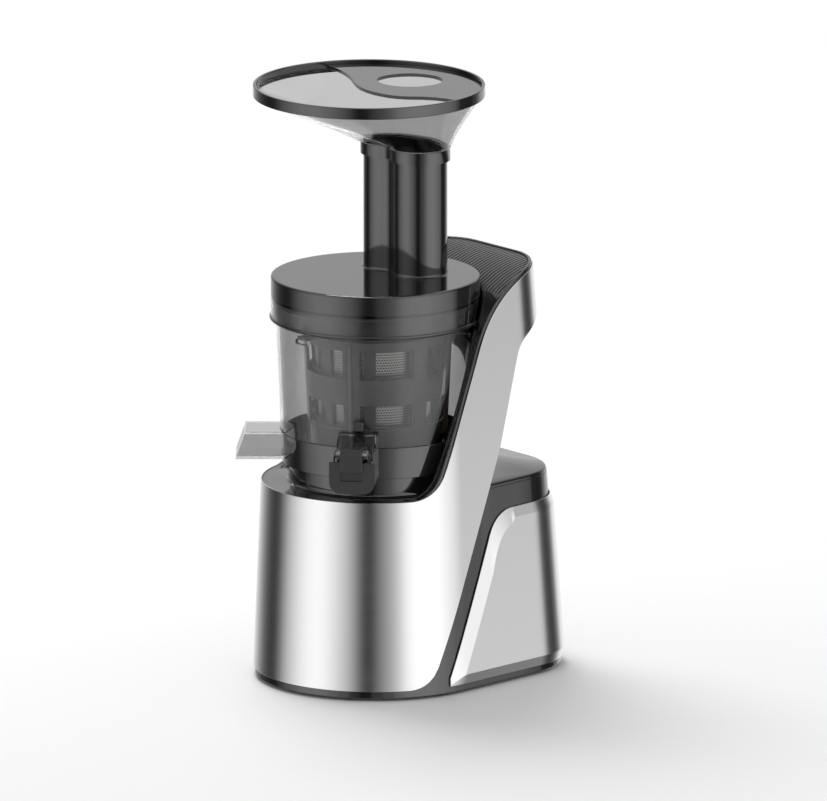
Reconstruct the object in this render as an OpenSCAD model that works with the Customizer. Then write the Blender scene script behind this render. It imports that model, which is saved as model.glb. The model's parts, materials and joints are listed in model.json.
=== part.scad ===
// Slow juicer with a steel clad base, a forked column, a clear bowl and a wide hopper.
// Millimetres. The origin is on the floor under the drive axis, +Z up, the front towards -Y.

/* [Body outline] */
// Radius of the round front at the floor
front_r_foot = 85.9; // [84:0.1:88]
// Radius of the round front at deck height
front_r_deck = 80.3; // [79:0.1:83]
// Radius of the rear corners at the floor
corner_r_foot = 51.1; // [46:0.1:54]
// Radius of the rear corners at deck height
corner_r_deck = 46.8; // [42:0.1:50]
// Sideways place of the rear corner centres at the floor
corner_x_foot = 26; // [24:0.1:30]
// Sideways place of the rear corner centres at deck height
corner_x_deck = 24.3; // [22:0.1:28]
// Distance of the rear corner centres behind the drive axis at the floor
corner_y_foot = 82.7; // [80:0.1:88]
// Distance of the rear corner centres behind the drive axis at deck height
corner_y_deck = 76.4; // [75:0.1:82]
// Height of the deck in front of the column
deck_z = 141; // [138:0.5:146]
// Height of the column where it ends at the rear wall
column_top_z = 289.4; // [286:0.1:292]

/* [Steel skins] */
// Thickness of the steel sheet
steel_t = 0.8; // [0.6:0.1:0.9]
// Height of the lower edge of the steel
skirt_z = 7; // [6:0.5:9]
// Where the front edge of the column meets the deck, seen from the side
slant_foot_y = -10.8; // [-14:0.1:-8]
// Where the front edge of the column meets its top, seen from the side
slant_top_y = 57.5; // [54:0.1:60]
// Bend of the front edge at the deck
slant_foot_r = 30; // [20:1:36]
// Bend of the front edge at the top of the column
slant_top_r = 82; // [70:1:86]
// Where the rear edge of the front skin meets its lower edge
back_foot_y = -19.3; // [-24:0.1:-16]
// Bend of the front skin at its lower rear corner
back_foot_r = 24; // [16:1:30]
// Where the rear edge of the column becomes steeper, behind the drive axis
knee_y = 51.7; // [50:0.1:53]
// Height where the rear edge of the column becomes steeper
knee_z = 165; // [160:1:170]
// Where the overhang starts, behind the drive axis
overhang_y = 75.8; // [74:0.1:78]
// Height where the overhang starts
overhang_z = 238.2; // [234:0.1:242]
// Rise of the overhang towards the rear wall, in degrees
overhang_rise = 28; // [22:1:34]
// Bend at the start of the overhang
overhang_r = 22; // [14:1:28]
// Width of the black diagonal band, measured along the floor
band_w = 14; // [11:0.5:16]
// Height of the top edge of the rear panel
panel_top_z = 123.8; // [120:0.1:126]
// Bend of the rear panel at its top front corner
panel_top_r = 27; // [18:1:32]
// How far the rear panel stands out from the skin line
panel_proud = 2.2; // [1.5:0.1:3]
// Width of the rear panel's bevel along its slanted edge
bevel_w = 11; // [8:0.5:13]

/* [Housing] */
// Wall of the moulded housing
wall = 2.4; // [2:0.1:2.6]
// Height of the rubber feet below the housing
foot_h = 2; // [1.5:0.1:2.4]
// Width of the black lip in front of the steel edge of the column
lip_w = 2.6; // [2:0.1:3]
// Radius of the cradle round the bowl
cradle_r = 71.3; // [71:0.1:72]
// Radius of the pedestal under the bowl
pedestal_r = 60.6; // [58:0.1:62]
// Height of the seat of the bowl
seat_z = 154.7; // [152:0.1:157]
// Thickness of the rear top cover
cover_t = 3.2; // [3:0.1:4]
// Pitch of the ribs on top of the column
rib_pitch = 3.3; // [3:0.1:4]
// Width of one rib
rib_w = 1.9; // [1.5:0.1:2.2]

/* [Bowl] */
// Outer radius of the dark bowl base at its foot
base_r_foot = 65.5; // [65:0.1:66]
// Outer radius of the dark bowl base at its top
base_r_top = 66.6; // [66.1:0.1:67.2]
// Height of the joint between the dark base and the clear bowl
bowl_joint_z = 177; // [175:0.5:179]
// Outer radius of the clear bowl at the lid
bowl_r_top = 69.7; // [69:0.1:70]
// Wall of the bowl
bowl_wall = 2.4; // [2:0.1:2.8]
// Radius of the strainer at its foot
strainer_r_foot = 40.8; // [40:0.1:41.2]
// Radius of the strainer at its top
strainer_r_top = 45.6; // [44:0.1:46]
// Outer radius of the brush cage at its top
cage_r_top = 51; // [50:0.1:52]
// Outer radius of the brush cage at its foot
cage_r_foot = 46.4; // [46:0.1:47]
// Height of the top of the brush cage
cage_top_z = 249; // [246:0.5:250]

/* [Spout and chute] */
// Turn of the juice spout from the front, in degrees
spout_angle = 40; // [36:1:44]
// Outer width of the juice spout
spout_w = 28; // [26:0.5:30]
// Reach of the juice spout from the drive axis
spout_reach = 92; // [90:0.5:94]
// Width of the drip cap
cap_w = 32; // [30:0.5:34]
// Thickness of the drip cap
cap_t = 3; // [2.5:0.1:3.5]
// Width of the lever on the drip cap
lever_w = 15.6; // [13:0.1:17]
// Turn of the pulp chute from the front, in degrees
chute_angle = -40; // [-44:1:-36]
// Outer width of the pulp chute
chute_w = 34; // [32:0.5:36]
// Reach of the pulp chute along its top
chute_reach = 91; // [89:0.5:93]
// Extra reach of the pulp chute along its floor
chute_lip = 7; // [4:0.5:9]

/* [Lid and hopper] */
// Radius of the lid
lid_r = 73.3; // [73:0.1:73.8]
// Height of the lower edge of the lid
lid_foot_z = 255.6; // [254:0.1:258]
// Height where the thin skirt of the lid becomes the thick band
lid_step_z = 271; // [269:0.5:273]
// Height of the top of the lid
lid_top_z = 287; // [285:0.5:290]
// Radius of the centreline of the bean shaped feed tube
tube_turn_r = 31.5; // [30.5:0.1:32]
// Half width of the feed tube
tube_half_w = 19.3; // [18.5:0.1:19.4]
// Half angle of the feed tube about the drive axis, in degrees
tube_half_a = 30; // [26:1:32]
// Height of the top of the feed tube
tube_top_z = 376; // [370:1:382]
// Outer radius of the hopper
hopper_r = 81.1; // [78:0.1:84]
// How far the hopper's centre lies in front of the drive axis
hopper_shift = 5.8; // [4:0.1:8]
// Height of the hopper's rim
hopper_top_z = 424; // [420:0.5:430]
// Height of the rim ring
rim_h = 8.2; // [7:0.1:9]
// Thickness of the hopper cover
plate_t = 2.4; // [2:0.1:2.6]
// How far the hopper cover lies below the rim
plate_drop = 2.6; // [2:0.1:3.2]

/* [Drive] */
// Distance of the motor behind the drive axis
motor_y = 88; // [86:0.5:88]
// Radius of the motor's stator
stator_r = 29; // [27:0.5:30]
// Centre distance of the first two gear stages
stage_gap = 24; // [23.5:0.5:24]
// Radius of the drive shaft
drive_r = 7.95; // [7.5:0.05:8.2]
// Height of the top of the drive shaft
drive_top_z = 192; // [188:1:196]

/* [Hidden] */

// Teeth of the gears
pinion_teeth = 12;
wheel_teeth = 36;
last_teeth = 14;
output_teeth = 42;

// Clearances and the one overrun that all cuts share
gap = 0.1;
seat_gap = 0.3;
run_gap = 0.05;
over = 1;
far = 200;
$fn = 96;

// Steps of the outline: front arc, flank, rear corner, rear wall
arc_n = 18;
flank_n = 4;
corner_n = 10;
bend_n = 8;

skin_in = steel_t + gap;
inner_in = skin_in + wall;
deck_drop = 0.4;
deck_t = 3;
floor_t = 2.6;

function mix(a, b, t) = a + (b - a) * t;
function unit(v) = v / norm(v);
function turn(r, a) = [r * cos(a), r * sin(a)];

// Body outline at height z, moved inwards by inset
function front_r(z, inset) = mix(front_r_foot, front_r_deck, z / deck_z) - inset;
function corner_r(z, inset) = mix(corner_r_foot, corner_r_deck, z / deck_z) - inset;
function corner_x(z) = mix(corner_x_foot, corner_x_deck, z / deck_z);
function corner_y(z) = mix(corner_y_foot, corner_y_deck, z / deck_z);
function rear_y(z, inset = 0) = corner_y(z) + corner_r(z, inset);
function flank_a(z) =
    atan2(corner_y(z), corner_x(z))
    - acos((front_r(z, 0) - corner_r(z, 0)) / norm([corner_x(z), corner_y(z)]));
// Station s runs from -1 at the front over 0 to 1 along the flank, to 2 at the rear wall, to 3 at its middle
function body_point(s, z, inset = 0) =
    s <= 0 ? turn(front_r(z, inset), mix(flank_a(z), -90, -s)) :
    s <= 1 ? mix(turn(front_r(z, inset), flank_a(z)), corner_start(z, inset), s) :
    s <= 2 ? [corner_x(z), corner_y(z)] + turn(corner_r(z, inset), mix(flank_a(z), 90, s - 1)) :
    [corner_x(z) * (3 - s), rear_y(z, inset)];
function corner_start(z, inset) = [corner_x(z), corner_y(z)] + turn(corner_r(z, inset), flank_a(z));
function half_body(z, inset) = concat(
    [for (i = [0 : arc_n]) body_point(i / arc_n - 1, z, inset)],
    [for (i = [1 : flank_n - 1]) body_point(i / flank_n, z, inset)],
    [for (i = [0 : corner_n]) body_point(1 + i / corner_n, z, inset)]
);
function mirrored(p) = [for (i = [len(p) - 1 : -1 : 1]) [-p[i].x, p[i].y]];
function body_outline(z, inset) = let (h = half_body(z, inset)) concat(h, mirrored(h));
function raised(p, z) = [for (q = p) [q.x, q.y, z]];
function band_faces(n, a, b) = [
    for (i = [0 : n - 1]) let (j = (i + 1) % n)
    each [[a + i, b + j, a + j], [a + i, b + i, b + j]]
];

// Solid between two rings of as many points
module between(low, high) {
    n = len(low);
    polyhedron(
        concat(low, high),
        concat([[for (i = [0 : n - 1]) i]], [[for (i = [n - 1 : -1 : 0]) n + i]], band_faces(n, 0, n))
    );
}

module body_solid(inset) {
    between(raised(body_outline(0, inset), 0), raised(body_outline(2 * far, inset), 2 * far));
}

module body_form(low_z, high_z, inset) {
    intersection() {
        body_solid(inset);
        translate([-far, -far, low_z]) cube([2 * far, 2 * far, high_z - low_z]);
    }
}

module body_taper(low_z, high_z, low_in, high_in) {
    between(raised(body_outline(low_z, low_in), low_z), raised(body_outline(high_z, high_in), high_z));
}

// A polygon with each corner rounded by its own radius
function rounded(p, radii) = [
    for (i = [0 : len(p) - 1])
    let (n = len(p), b = p[i], u = unit(b - p[(i + n - 1) % n]), v = unit(p[(i + 1) % n] - b),
        side = u.x * v.y - u.y * v.x, half = acos(u * v) / 2, r = radii[i])
    each r <= 0 ? [b] :
        let (s = side > 0 ? 1 : -1, start = b - u * r * tan(half), c = start + s * r * [-u.y, u.x],
            a = atan2(start.y - c.y, start.x - c.x))
        [for (k = [0 : bend_n]) c + turn(r, a + s * 2 * half * k / bend_n)]
];

// Side view outlines, y to the right and z up, drawn across the whole width
module across() {
    rotate([90, 0, 90]) linear_extrude(2 * far, center = true) children();
}

// A side view outline of one width, turned about the drive axis so that its length points outwards
module outwards(a, w) {
    rotate(a) rotate([90, 0, 0]) linear_extrude(w, center = true) children();
}

slant_a = atan2(column_top_z - deck_z, slant_top_y - slant_foot_y);
back_a = atan2(knee_z - skirt_z, knee_y - back_foot_y);
function front_edge_y(z, e = 0) =
    mix(slant_foot_y, slant_top_y, (z - deck_z) / (column_top_z - deck_z)) - e / sin(slant_a);
function back_edge_y(z, e = 0) =
    mix(back_foot_y, knee_y, (z - skirt_z) / (knee_z - skirt_z)) + e / sin(back_a);

// The front skin seen from the side, with its front edge moved by e and its rear edge by b
function skin_view(e = 0, b = 0, foot = skirt_z, deck = deck_z, top = column_top_z) = rounded(
    [
        [-far, foot], [back_edge_y(foot, b), foot], [back_edge_y(knee_z, b), knee_z],
        [overhang_y + b, overhang_z - b], [far, overhang_z - b + (far - overhang_y) * tan(overhang_rise)],
        [far, top], [front_edge_y(top, e), top], [front_edge_y(deck, e), deck], [-far, deck]
    ],
    [0, back_foot_r + b, 0, overhang_r - b, 0, 0, slant_top_r + e, slant_foot_r - e, 0]
);

// Front steel skin: barrel and column sides in one sheet
module front_steel_shell() {
    color("silver") intersection() {
        difference() {
            body_form(skirt_z, column_top_z + over, 0);
            body_form(skirt_z - over, column_top_z + 2 * over, steel_t);
        }
        across() polygon(skin_view());
    }
}

// Rear steel panel, raised inside a bevelled edge, made as a sheet of stations round the rear
panel_foot_z = skirt_z - deck_drop;
panel_start_y = back_edge_y(panel_foot_z) + band_w;
panel_foot_bevel = 7;
panel_top_bevel = 7;
panel_rest = 0.3;
panel_cols = 26;
panel_tail_share = 3;
panel_nose_share = -0.12;
slant_bevel = bevel_w / cos(back_a);
function panel_edge_z(y) = skirt_z + (y - back_foot_y - band_w) * tan(back_a);
function panel_high(y) = min(panel_top_z, panel_bend_z(y), panel_edge_z(y));
panel_bend_y = back_foot_y + band_w + (panel_top_z - skirt_z) / tan(back_a) + panel_top_r * tan(back_a / 2);
function panel_bend_z(y) =
    y >= panel_bend_y || y <= panel_bend_y - panel_top_r * sin(back_a) ? panel_top_z :
    panel_top_z - panel_top_r + sqrt(pow(panel_top_r, 2) - pow(panel_bend_y - y, 2));
function panel_col(s) =
    let (mid_y = body_point(s, panel_top_z / 2).y,
        high = max(panel_high(mid_y), panel_foot_z + 2 * steel_t),
        tall = high - panel_foot_z,
        upper = high < panel_top_z - gap ? min(slant_bevel, bevel_w + panel_top_z - high) : panel_top_bevel,
        share = min(1, tall / (upper + panel_foot_bevel)),
        low_z = panel_foot_z + panel_foot_bevel * share,
        high_z = high - upper * share)
    [[panel_foot_z, -panel_rest], [low_z, -max(panel_rest, panel_proud * share)],
        [high_z, -max(panel_rest, panel_proud * share)], [high, -panel_rest]];
function panel_stations() = concat(
    [for (i = [0 : panel_cols]) mix(panel_nose_share, 1, i / panel_cols)],
    [for (i = [1 : corner_n]) 1 + i / corner_n], [panel_tail_share]
);
function panel_row(k, extra) =
    let (s = panel_stations(),
        half = [for (t = s) let (c = panel_col(t)[k], p = body_point(t, c[0], c[1] + extra))
            [p.x, p.y, c[0]]])
    concat(half, [for (i = [len(half) - 2 : -1 : 0]) [-half[i].x, half[i].y, half[i].z]]);

// A closed sheet from rows of points on its outer and inner faces
module sheet(outer, inner) {
    rows = concat(outer, [for (i = [len(inner) - 1 : -1 : 0]) inner[i]]);
    m = len(rows);
    n = len(rows[0]);
    polyhedron(
        [for (r = rows) each r],
        concat(
            [for (k = [0 : m - 1]) let (q = (k + 1) % m) for (i = [0 : n - 2])
                each [[k * n + i, q * n + i + 1, k * n + i + 1], [k * n + i, q * n + i, q * n + i + 1]]],
            [for (k = [0 : m / 2 - 2]) let (q = m - 1 - k)
                each [[k * n, q * n, (q - 1) * n], [k * n, (q - 1) * n, (k + 1) * n]]],
            [for (k = [0 : m / 2 - 2]) let (q = m - 1 - k, e = n - 1)
                each [[k * n + e, (q - 1) * n + e, q * n + e],
                    [k * n + e, (k + 1) * n + e, (q - 1) * n + e]]]
        )
    );
}

module rear_steel_shell() {
    color("silver") difference() {
        sheet([for (k = [0 : 3]) panel_row(k, 0)], [for (k = [0 : 3]) panel_row(k, steel_t)]);
        on_rear_wall(gland_z) cylinder(h = 2 * rear_cut, r = gland_flange_r + seat_gap, center = true);
        on_rear_wall(switch_z)
            cube([switch_w + 2 * seat_gap, switch_h + 2 * seat_gap, 2 * rear_cut], center = true);
    }
}

// Housing: plinth, rear box, deck, pedestal and the outer walls of the column
deck_top_z = deck_z - deck_drop;
deck_low_z = deck_top_z - deck_t;
cover_z = deck_z - 2 * deck_drop;
column_end_z = column_top_z + 3 * lip_w;
ledge = 3;
back_in = 0.6;
column_cut_r = cradle_r + wall + gap;
lid_room = 1.3;
recess_r = lid_r + lid_room;
recess_cut_r = recess_r + wall + gap;
recess_z = lid_foot_z - lip_w;
rib_base_t = 2.6;
rib_h = 1.2;
rib_low = 0.6;
rib_front_y = slant_top_y + wall;
pedestal_fillet = 3;
seal_r = 13;
seal_h = 7;
boss_r = 4.6;
boss_in = inner_in + boss_r - wall / 2;
boss_top_z = 30;
boss_shares = [-0.62, 1.3];
screw_r = 1.6;
screw_hole_r = screw_r + gap;
screw_head_r = 3.2;
screw_head_h = 1.6;
screw_len = 20;
hanger_x = 35;
hanger_y = [-26, 32];

module screw_places() {
    for (s = boss_shares, m = [0, 1]) {
        p = body_point(s, boss_top_z / 2, boss_in);
        mirror([m, 0, 0]) translate([p.x, p.y, 0]) children();
    }
}

module hanger_places() {
    for (x = [-hanger_x, hanger_x], y = hanger_y) translate([x, y, 0]) children();
}

module disc(r, low, high) {
    translate([0, 0, low]) cylinder(h = high - low, r = r);
}

module ring(r_in, r_out, low, high) {
    difference() {
        disc(r_out, low, high);
        disc(r_in, low - over, high + over);
    }
}

// The column seen from the side, from height foot up
function column_view(e, b, foot, top = column_top_z) = rounded(
    [
        [front_edge_y(foot, e), foot], [back_edge_y(foot, b), foot], [back_edge_y(knee_z, b), knee_z],
        [overhang_y + b, overhang_z - b], [far, overhang_z - b + (far - overhang_y) * tan(overhang_rise)],
        [far, top + e], [front_edge_y(top + e, e), top + e]
    ],
    [0, 0, 0, overhang_r - b, 0, 0, slant_top_r + e]
);
function under_curve(e, foot) = rounded(
    [[front_edge_y(foot, e), foot], [far, foot], [far, column_top_z + e],
        [front_edge_y(column_top_z + e, e), column_top_z + e]],
    [0, 0, 0, slant_top_r + e]
);

module behind(y, low) {
    translate([y, low]) square([far, 2 * far]);
}

module housing_outer() {
    intersection() {
        body_form(foot_h, column_end_z, skin_in);
        union() {
            across() polygon(skin_view(lip_w, -back_in, skirt_z, deck_top_z, column_top_z + lip_w));
            across() polygon([[-far, foot_h - over], [far, foot_h - over], [far, cover_z],
                [front_edge_y(deck_z), cover_z], [front_edge_y(deck_z), deck_top_z], [-far, deck_top_z]]);
            disc(column_cut_r, deck_low_z, deck_top_z);
        }
    }
}

module housing_hollow() {
    body_form(foot_h - over, deck_low_z, inner_in);
    difference() {
        intersection() {
            body_form(deck_low_z - over, column_end_z + over, inner_in);
            union() {
                across() polygon(column_view(-wall, -back_in - wall, deck_low_z - over / 2));
                across() intersection() {
                    polygon(column_view(2 * lip_w, -back_in - wall, recess_z));
                    behind(rib_front_y, recess_z);
                }
            }
        }
        disc(column_cut_r, 0, deck_top_z);
    }
    difference() {
        intersection() {
            body_form(deck_low_z - over, cover_z + over, inner_in + ledge);
            across() polygon([
                [back_edge_y(deck_low_z - over, ledge), deck_low_z - over], [far, deck_low_z - over],
                [far, cover_z + over], [back_edge_y(cover_z + over, ledge), cover_z + over]]);
        }
        disc(column_cut_r + ledge, 0, far);
    }
}

module pedestal() {
    rotate_extrude() polygon(concat(
        [[seal_r, deck_low_z], [pedestal_r + pedestal_fillet, deck_low_z]],
        [for (k = [0 : bend_n]) let (a = 90 * k / bend_n)
            [pedestal_r + pedestal_fillet * (1 - sin(a)), deck_top_z + pedestal_fillet * (1 - cos(a))]],
        [[pedestal_r, seat_z], [seal_r, seat_z]]
    ));
}

module main_housing() {
    color("dimgray") difference() {
        union() {
            difference() {
                housing_outer();
                housing_hollow();
                disc(column_cut_r, deck_top_z, recess_z);
                disc(recess_cut_r, recess_z - wall - gap, column_end_z + over);
            }
            pedestal();
            screw_places() disc(boss_r, foot_h + floor_t + gap, boss_top_z);
            hanger_places() disc(boss_r, lid_plate_z + gap, seat_z - wall / 2);
            ring(seal_r, seal_r + wall, seat_z - seal_h, seat_z - wall / 2);
        }
        difference() {
            disc(pedestal_r - wall, deck_low_z - over, seat_z - wall);
            hanger_places() disc(boss_r, deck_low_z - 2 * over, seat_z);
            disc(seal_r + wall, seat_z - seal_h, seat_z);
        }
        disc(seal_r, deck_low_z - over, seat_z + over);
        screw_places() disc(screw_hole_r, foot_h, foot_h + screw_len + 2 * over);
        hanger_places() disc(screw_hole_r, deck_low_z - far / 10, seat_z - wall);
        on_rear_wall(gland_z) disc(gland_r + gap, -rear_cut, rear_cut);
        on_rear_wall(switch_z) cube([switch_w, switch_h, 2 * rear_cut] + [2, 2, 0] * gap, center = true);
    }
}

// Liner of the cradle: the wall next to the bowl, with its wider recess for the lid
liner_gap = 0.4;
module cradle_liner() {
    color("black") intersection() {
        rotate_extrude() polygon([
            [cradle_r, deck_top_z], [cradle_r + wall, deck_top_z], [cradle_r + wall, recess_z - wall],
            [recess_r + wall, recess_z - wall], [recess_r + wall, column_end_z], [recess_r, column_end_z],
            [recess_r, recess_z], [cradle_r, recess_z]
        ]);
        across() difference() {
            polygon(skin_view(
                lip_w - liner_gap, -back_in, skirt_z, deck_top_z - gap, column_top_z + lip_w - liner_gap
            ));
            difference() {
                behind(rib_front_y, recess_z);
                polygon(under_curve(-rib_base_t - gap, deck_z));
            }
        }
    }
}

// Ribbed cap that closes the top of the column
module rib_layer(rise) {
    across() intersection() {
        difference() {
            polygon(under_curve(rise, recess_z));
            polygon(under_curve(-rib_base_t, recess_z - over));
        }
        behind(rib_front_y + gap, recess_z);
    }
}

module column_rib_cap() {
    color("black") difference() {
        intersection() {
            body_form(recess_z, column_end_z, inner_in + gap);
            union() {
                rib_layer(rib_low);
                intersection() {
                    rib_layer(rib_low + rib_h);
                    for (i = [-rib_n : rib_n]) translate([i * rib_pitch - rib_w / 2, 0, 0])
                        cube([rib_w, far, 2 * far]);
                }
            }
        }
        disc(recess_r, recess_z - over, 2 * far);
    }
}
rib_n = floor(front_r_deck / rib_pitch);

// Cover plate of the rear box, resting on the ledge inside its rim
cover_edge_in = skin_in + seat_gap;
cover_round = 1.8;
module rear_top_cover() {
    shoulder_z = cover_z + cover_t - cover_round;
    lip_z = cover_z + cover_t - cover_round / 3;
    skirt_low_z = deck_low_z - ledge;
    color("dimgray") difference() {
        intersection() {
            union() {
                body_form(cover_z, shoulder_z, cover_edge_in);
                body_taper(shoulder_z, lip_z, cover_edge_in, cover_edge_in + cover_round / 3);
                body_taper(lip_z, cover_z + cover_t,
                    cover_edge_in + cover_round / 3, cover_edge_in + cover_round);
                difference() {
                    body_form(skirt_low_z, cover_z, inner_in + ledge + gap);
                    body_form(skirt_low_z - over, cover_z + over, inner_in + ledge + gap + wall);
                }
            }
            across() polygon([[back_edge_y(skirt_low_z, ledge + gap), skirt_low_z], [far, skirt_low_z],
                [far, far], [back_edge_y(far, seat_gap), far],
                [back_edge_y(cover_z, seat_gap), cover_z], [back_edge_y(cover_z, ledge + gap), cover_z]]);
        }
        disc(column_cut_r + gap, cover_z, far);
        disc(column_cut_r + ledge + gap, 0, cover_z);
    }
}

// Base plate with its vents, the motor's tower and two slotted posts for the board
plate_in = inner_in + gap;
plate_top_z = foot_h + floor_t;
foot_r = 8;
foot_stud_r = 3;
foot_sink = 1;
foot_in = 21;
foot_shares = [-0.6, 1.38];
tower_r = 26;
tower_top_z = 24;
vent_n = 9;
vent_w = 3;
vent_len = 30;
vent_pitch = 5;
board_y = -52;
board_w = 66;
board_t = 1.6;
board_foot_z = 9;
board_top_z = 74;
post_w = 8;
post_d = 7;
post_h = 18;

module foot_places() {
    for (s = foot_shares, m = [0, 1]) {
        p = body_point(s, 0, foot_in);
        mirror([m, 0, 0]) translate([p.x, p.y, 0]) children();
    }
}

module base_plate() {
    color("black") difference() {
        union() {
            body_form(foot_h, plate_top_z, plate_in);
            translate([0, motor_y, 0]) ring(tower_r - wall, tower_r, foot_h, tower_top_z);
            for (x = [-1, 1] * (board_w - post_w) / 2)
                translate([x, board_y, foot_h + post_h / 2]) cube([post_w, post_d, post_h], center = true);
        }
        screw_places() {
            disc(screw_hole_r, foot_h - over, plate_top_z + over);
            disc(screw_head_r + gap, foot_h - over, foot_h + screw_head_h + gap);
        }
        foot_places() {
            disc(foot_stud_r + gap, foot_h - over, plate_top_z + over);
            disc(foot_r + gap, foot_h - over, foot_h + foot_sink);
        }
        for (i = [0 : vent_n - 1])
            translate([(i - (vent_n - 1) / 2) * vent_pitch - vent_w / 2,
                    motor_y - vent_len / 2, foot_h - over])
                cube([vent_w, vent_len, floor_t + 2 * over]);
        translate([-board_w / 2 - gap, board_y - board_t / 2 - gap, board_foot_z])
            cube([board_w + 2 * gap, board_t + 2 * gap, far]);
    }
}

module rubber_feet() {
    color("black") foot_places() {
        disc(foot_r, 0, foot_h + foot_sink);
        disc(foot_stud_r, foot_h + foot_sink, plate_top_z);
    }
}

module base_screws() {
    color("silver") screw_places() {
        disc(screw_head_r, foot_h + gap, foot_h + screw_head_h);
        disc(screw_r, foot_h + screw_head_h, foot_h + screw_len);
    }
}

// Cord gland on the rear wall, without a cord
gland_z = 26;
gland_r = 6;
gland_bore_r = 3.6;
gland_flange_r = 9;
gland_flange_t = 3;
gland_nose = 9;
gland_nut_t = 4;
rear_cut = 14;
rear_lean = atan2(rear_y(0) - rear_y(deck_z), deck_z);
module on_rear_wall(z) {
    translate([0, rear_y(z), z]) rotate([rear_lean - 90, 0, 0]) children();
}

module cord_gland() {
    color("black") on_rear_wall(gland_z) {
        difference() {
            union() {
                disc(gland_r, -inner_in - gland_nut_t - gap, gland_nose);
                disc(gland_flange_r, -skin_in + gap, gland_flange_t);
            }
            disc(gland_bore_r, -far, far);
        }
        ring(gland_r + run_gap, gland_flange_r, -inner_in - gland_nut_t, -inner_in - gap);
    }
}

// Switch on the rear wall: a bezel with a rocker on a cross pin
switch_z = 70;
switch_w = 21;
switch_h = 15;
switch_rim = 1.6;
switch_depth = 8.4;
switch_proud = 3.4;
rocker_r = switch_h / 2 - switch_rim - seat_gap;
rocker_rest = 8;
rocker_pin_r = 1.2;
rocker_lift = 1;

module switch_bezel() {
    color("black") on_rear_wall(switch_z) difference() {
        union() {
            translate([0, 0, -switch_depth / 2]) cube([switch_w, switch_h, switch_depth], center = true);
            translate([0, 0, switch_proud / 2]) cube([switch_w, switch_h, switch_proud], center = true);
        }
        translate([0, 0, far / 2 - switch_depth + switch_rim])
            cube([switch_w - 2 * switch_rim, switch_h - 2 * switch_rim, far], center = true);
        rotate([0, 90, 0]) cylinder(h = 2 * far, r = rocker_pin_r + run_gap, center = true);
    }
}

module rocker_switch() {
    inner_w = switch_w - 2 * switch_rim - 2 * seat_gap;
    color("dimgray") on_rear_wall(switch_z) rotate([rocker_rest, 0, 0]) {
        difference() {
            rotate([0, 90, 0]) cylinder(h = inner_w, r = rocker_r, center = true);
            for (m = [0, 1]) mirror([0, m, 0]) rotate([-rocker_rest, 0, 0])
                translate([-far, 0, rocker_r - rocker_lift]) cube([2 * far, far, far]);
        }
        rotate([0, 90, 0]) cylinder(h = switch_w - gap, r = rocker_pin_r, center = true);
    }
}

// Motor
shaft_r = 4;
bearing_r = 8;
bearing_h = 5;
can_t = 2;
can_foot_z = 30;
can_top_z = 90;
can_flange_t = 2.4;
can_flange_w = 3;
can_vents = 6;
stator_gap = 0.5;
stator_foot_z = 44;
stator_top_z = 80;
stator_bore_r = 17.5;
winding_h = 5.4;
winding_t = 9;
fan_r = 20;
fan_foot_z = 12;
fan_h = 9;
fan_blades = 8;
blade_t = 1.4;
motor_screws = 3;

module at_motor() {
    translate([0, motor_y, 0]) children();
}

module motor_can() {
    color("silver") at_motor() difference() {
        union() {
            disc(stator_r + can_t, can_foot_z, can_top_z);
            disc(stator_r + can_t + can_flange_w, can_top_z - can_flange_t, can_top_z);
        }
        difference() {
            disc(stator_r + gap, can_foot_z + can_t, can_top_z + over);
            disc(bearing_r + can_t, can_foot_z, can_foot_z + can_t + bearing_h);
        }
        disc(bearing_r + run_gap, can_foot_z + can_t, can_top_z);
        disc(shaft_r + seat_gap, can_foot_z - over, can_top_z);
        for (i = [0 : can_vents - 1]) rotate(360 * i / can_vents)
            translate([bearing_r + 2 * can_t, -vent_w / 2, can_foot_z - over])
                cube([stator_r - bearing_r - 4 * can_t, vent_w, can_t + 2 * over]);
        for (i = [0 : motor_screws - 1]) rotate(360 * i / motor_screws)
            translate([stator_r + can_t + can_flange_w / 2, 0, 0])
                disc(screw_r / 2 + gap, can_top_z - 2 * can_flange_t, can_top_z + over);
    }
}

module motor_stator() {
    color("gray") at_motor() ring(stator_bore_r, stator_r, stator_foot_z, stator_top_z);
}

module motor_windings() {
    color("orange") at_motor() {
        for (z = [stator_foot_z - winding_h, stator_top_z])
            ring(stator_bore_r + 1.5 * stator_gap, stator_bore_r + winding_t, z, z + winding_h);
    }
}

module motor_bearings() {
    color("silver") at_motor() {
        ring(shaft_r + run_gap, bearing_r, can_foot_z + can_t, can_foot_z + can_t + bearing_h);
        ring(shaft_r + run_gap, bearing_r, tray_top_floor_z, tray_top_floor_z + bearing_h);
    }
}

module motor_damper() {
    color("black") at_motor() ring(tower_r - wall - over, tower_r + over, tower_top_z, can_foot_z);
}

module motor_shaft() {
    color("silver") at_motor() {
        disc(shaft_r, fan_foot_z - over, pinion_top_z);
        spur(pinion_teeth, small_mod, pinion_foot_z, pinion_top_z, 0, -90);
    }
}

module rotor_core() {
    color("gray") at_motor()
        ring(shaft_r + run_gap, stator_bore_r - stator_gap, stator_foot_z, stator_top_z);
}

module cooling_fan() {
    color("black") at_motor() {
        ring(shaft_r + run_gap, bearing_r, fan_foot_z, fan_foot_z + fan_h);
        for (i = [0 : fan_blades - 1]) rotate(360 * i / fan_blades)
            translate([bearing_r - run_gap, -blade_t / 2, fan_foot_z])
                cube([fan_r - bearing_r, blade_t, fan_h]);
    }
}

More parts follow.
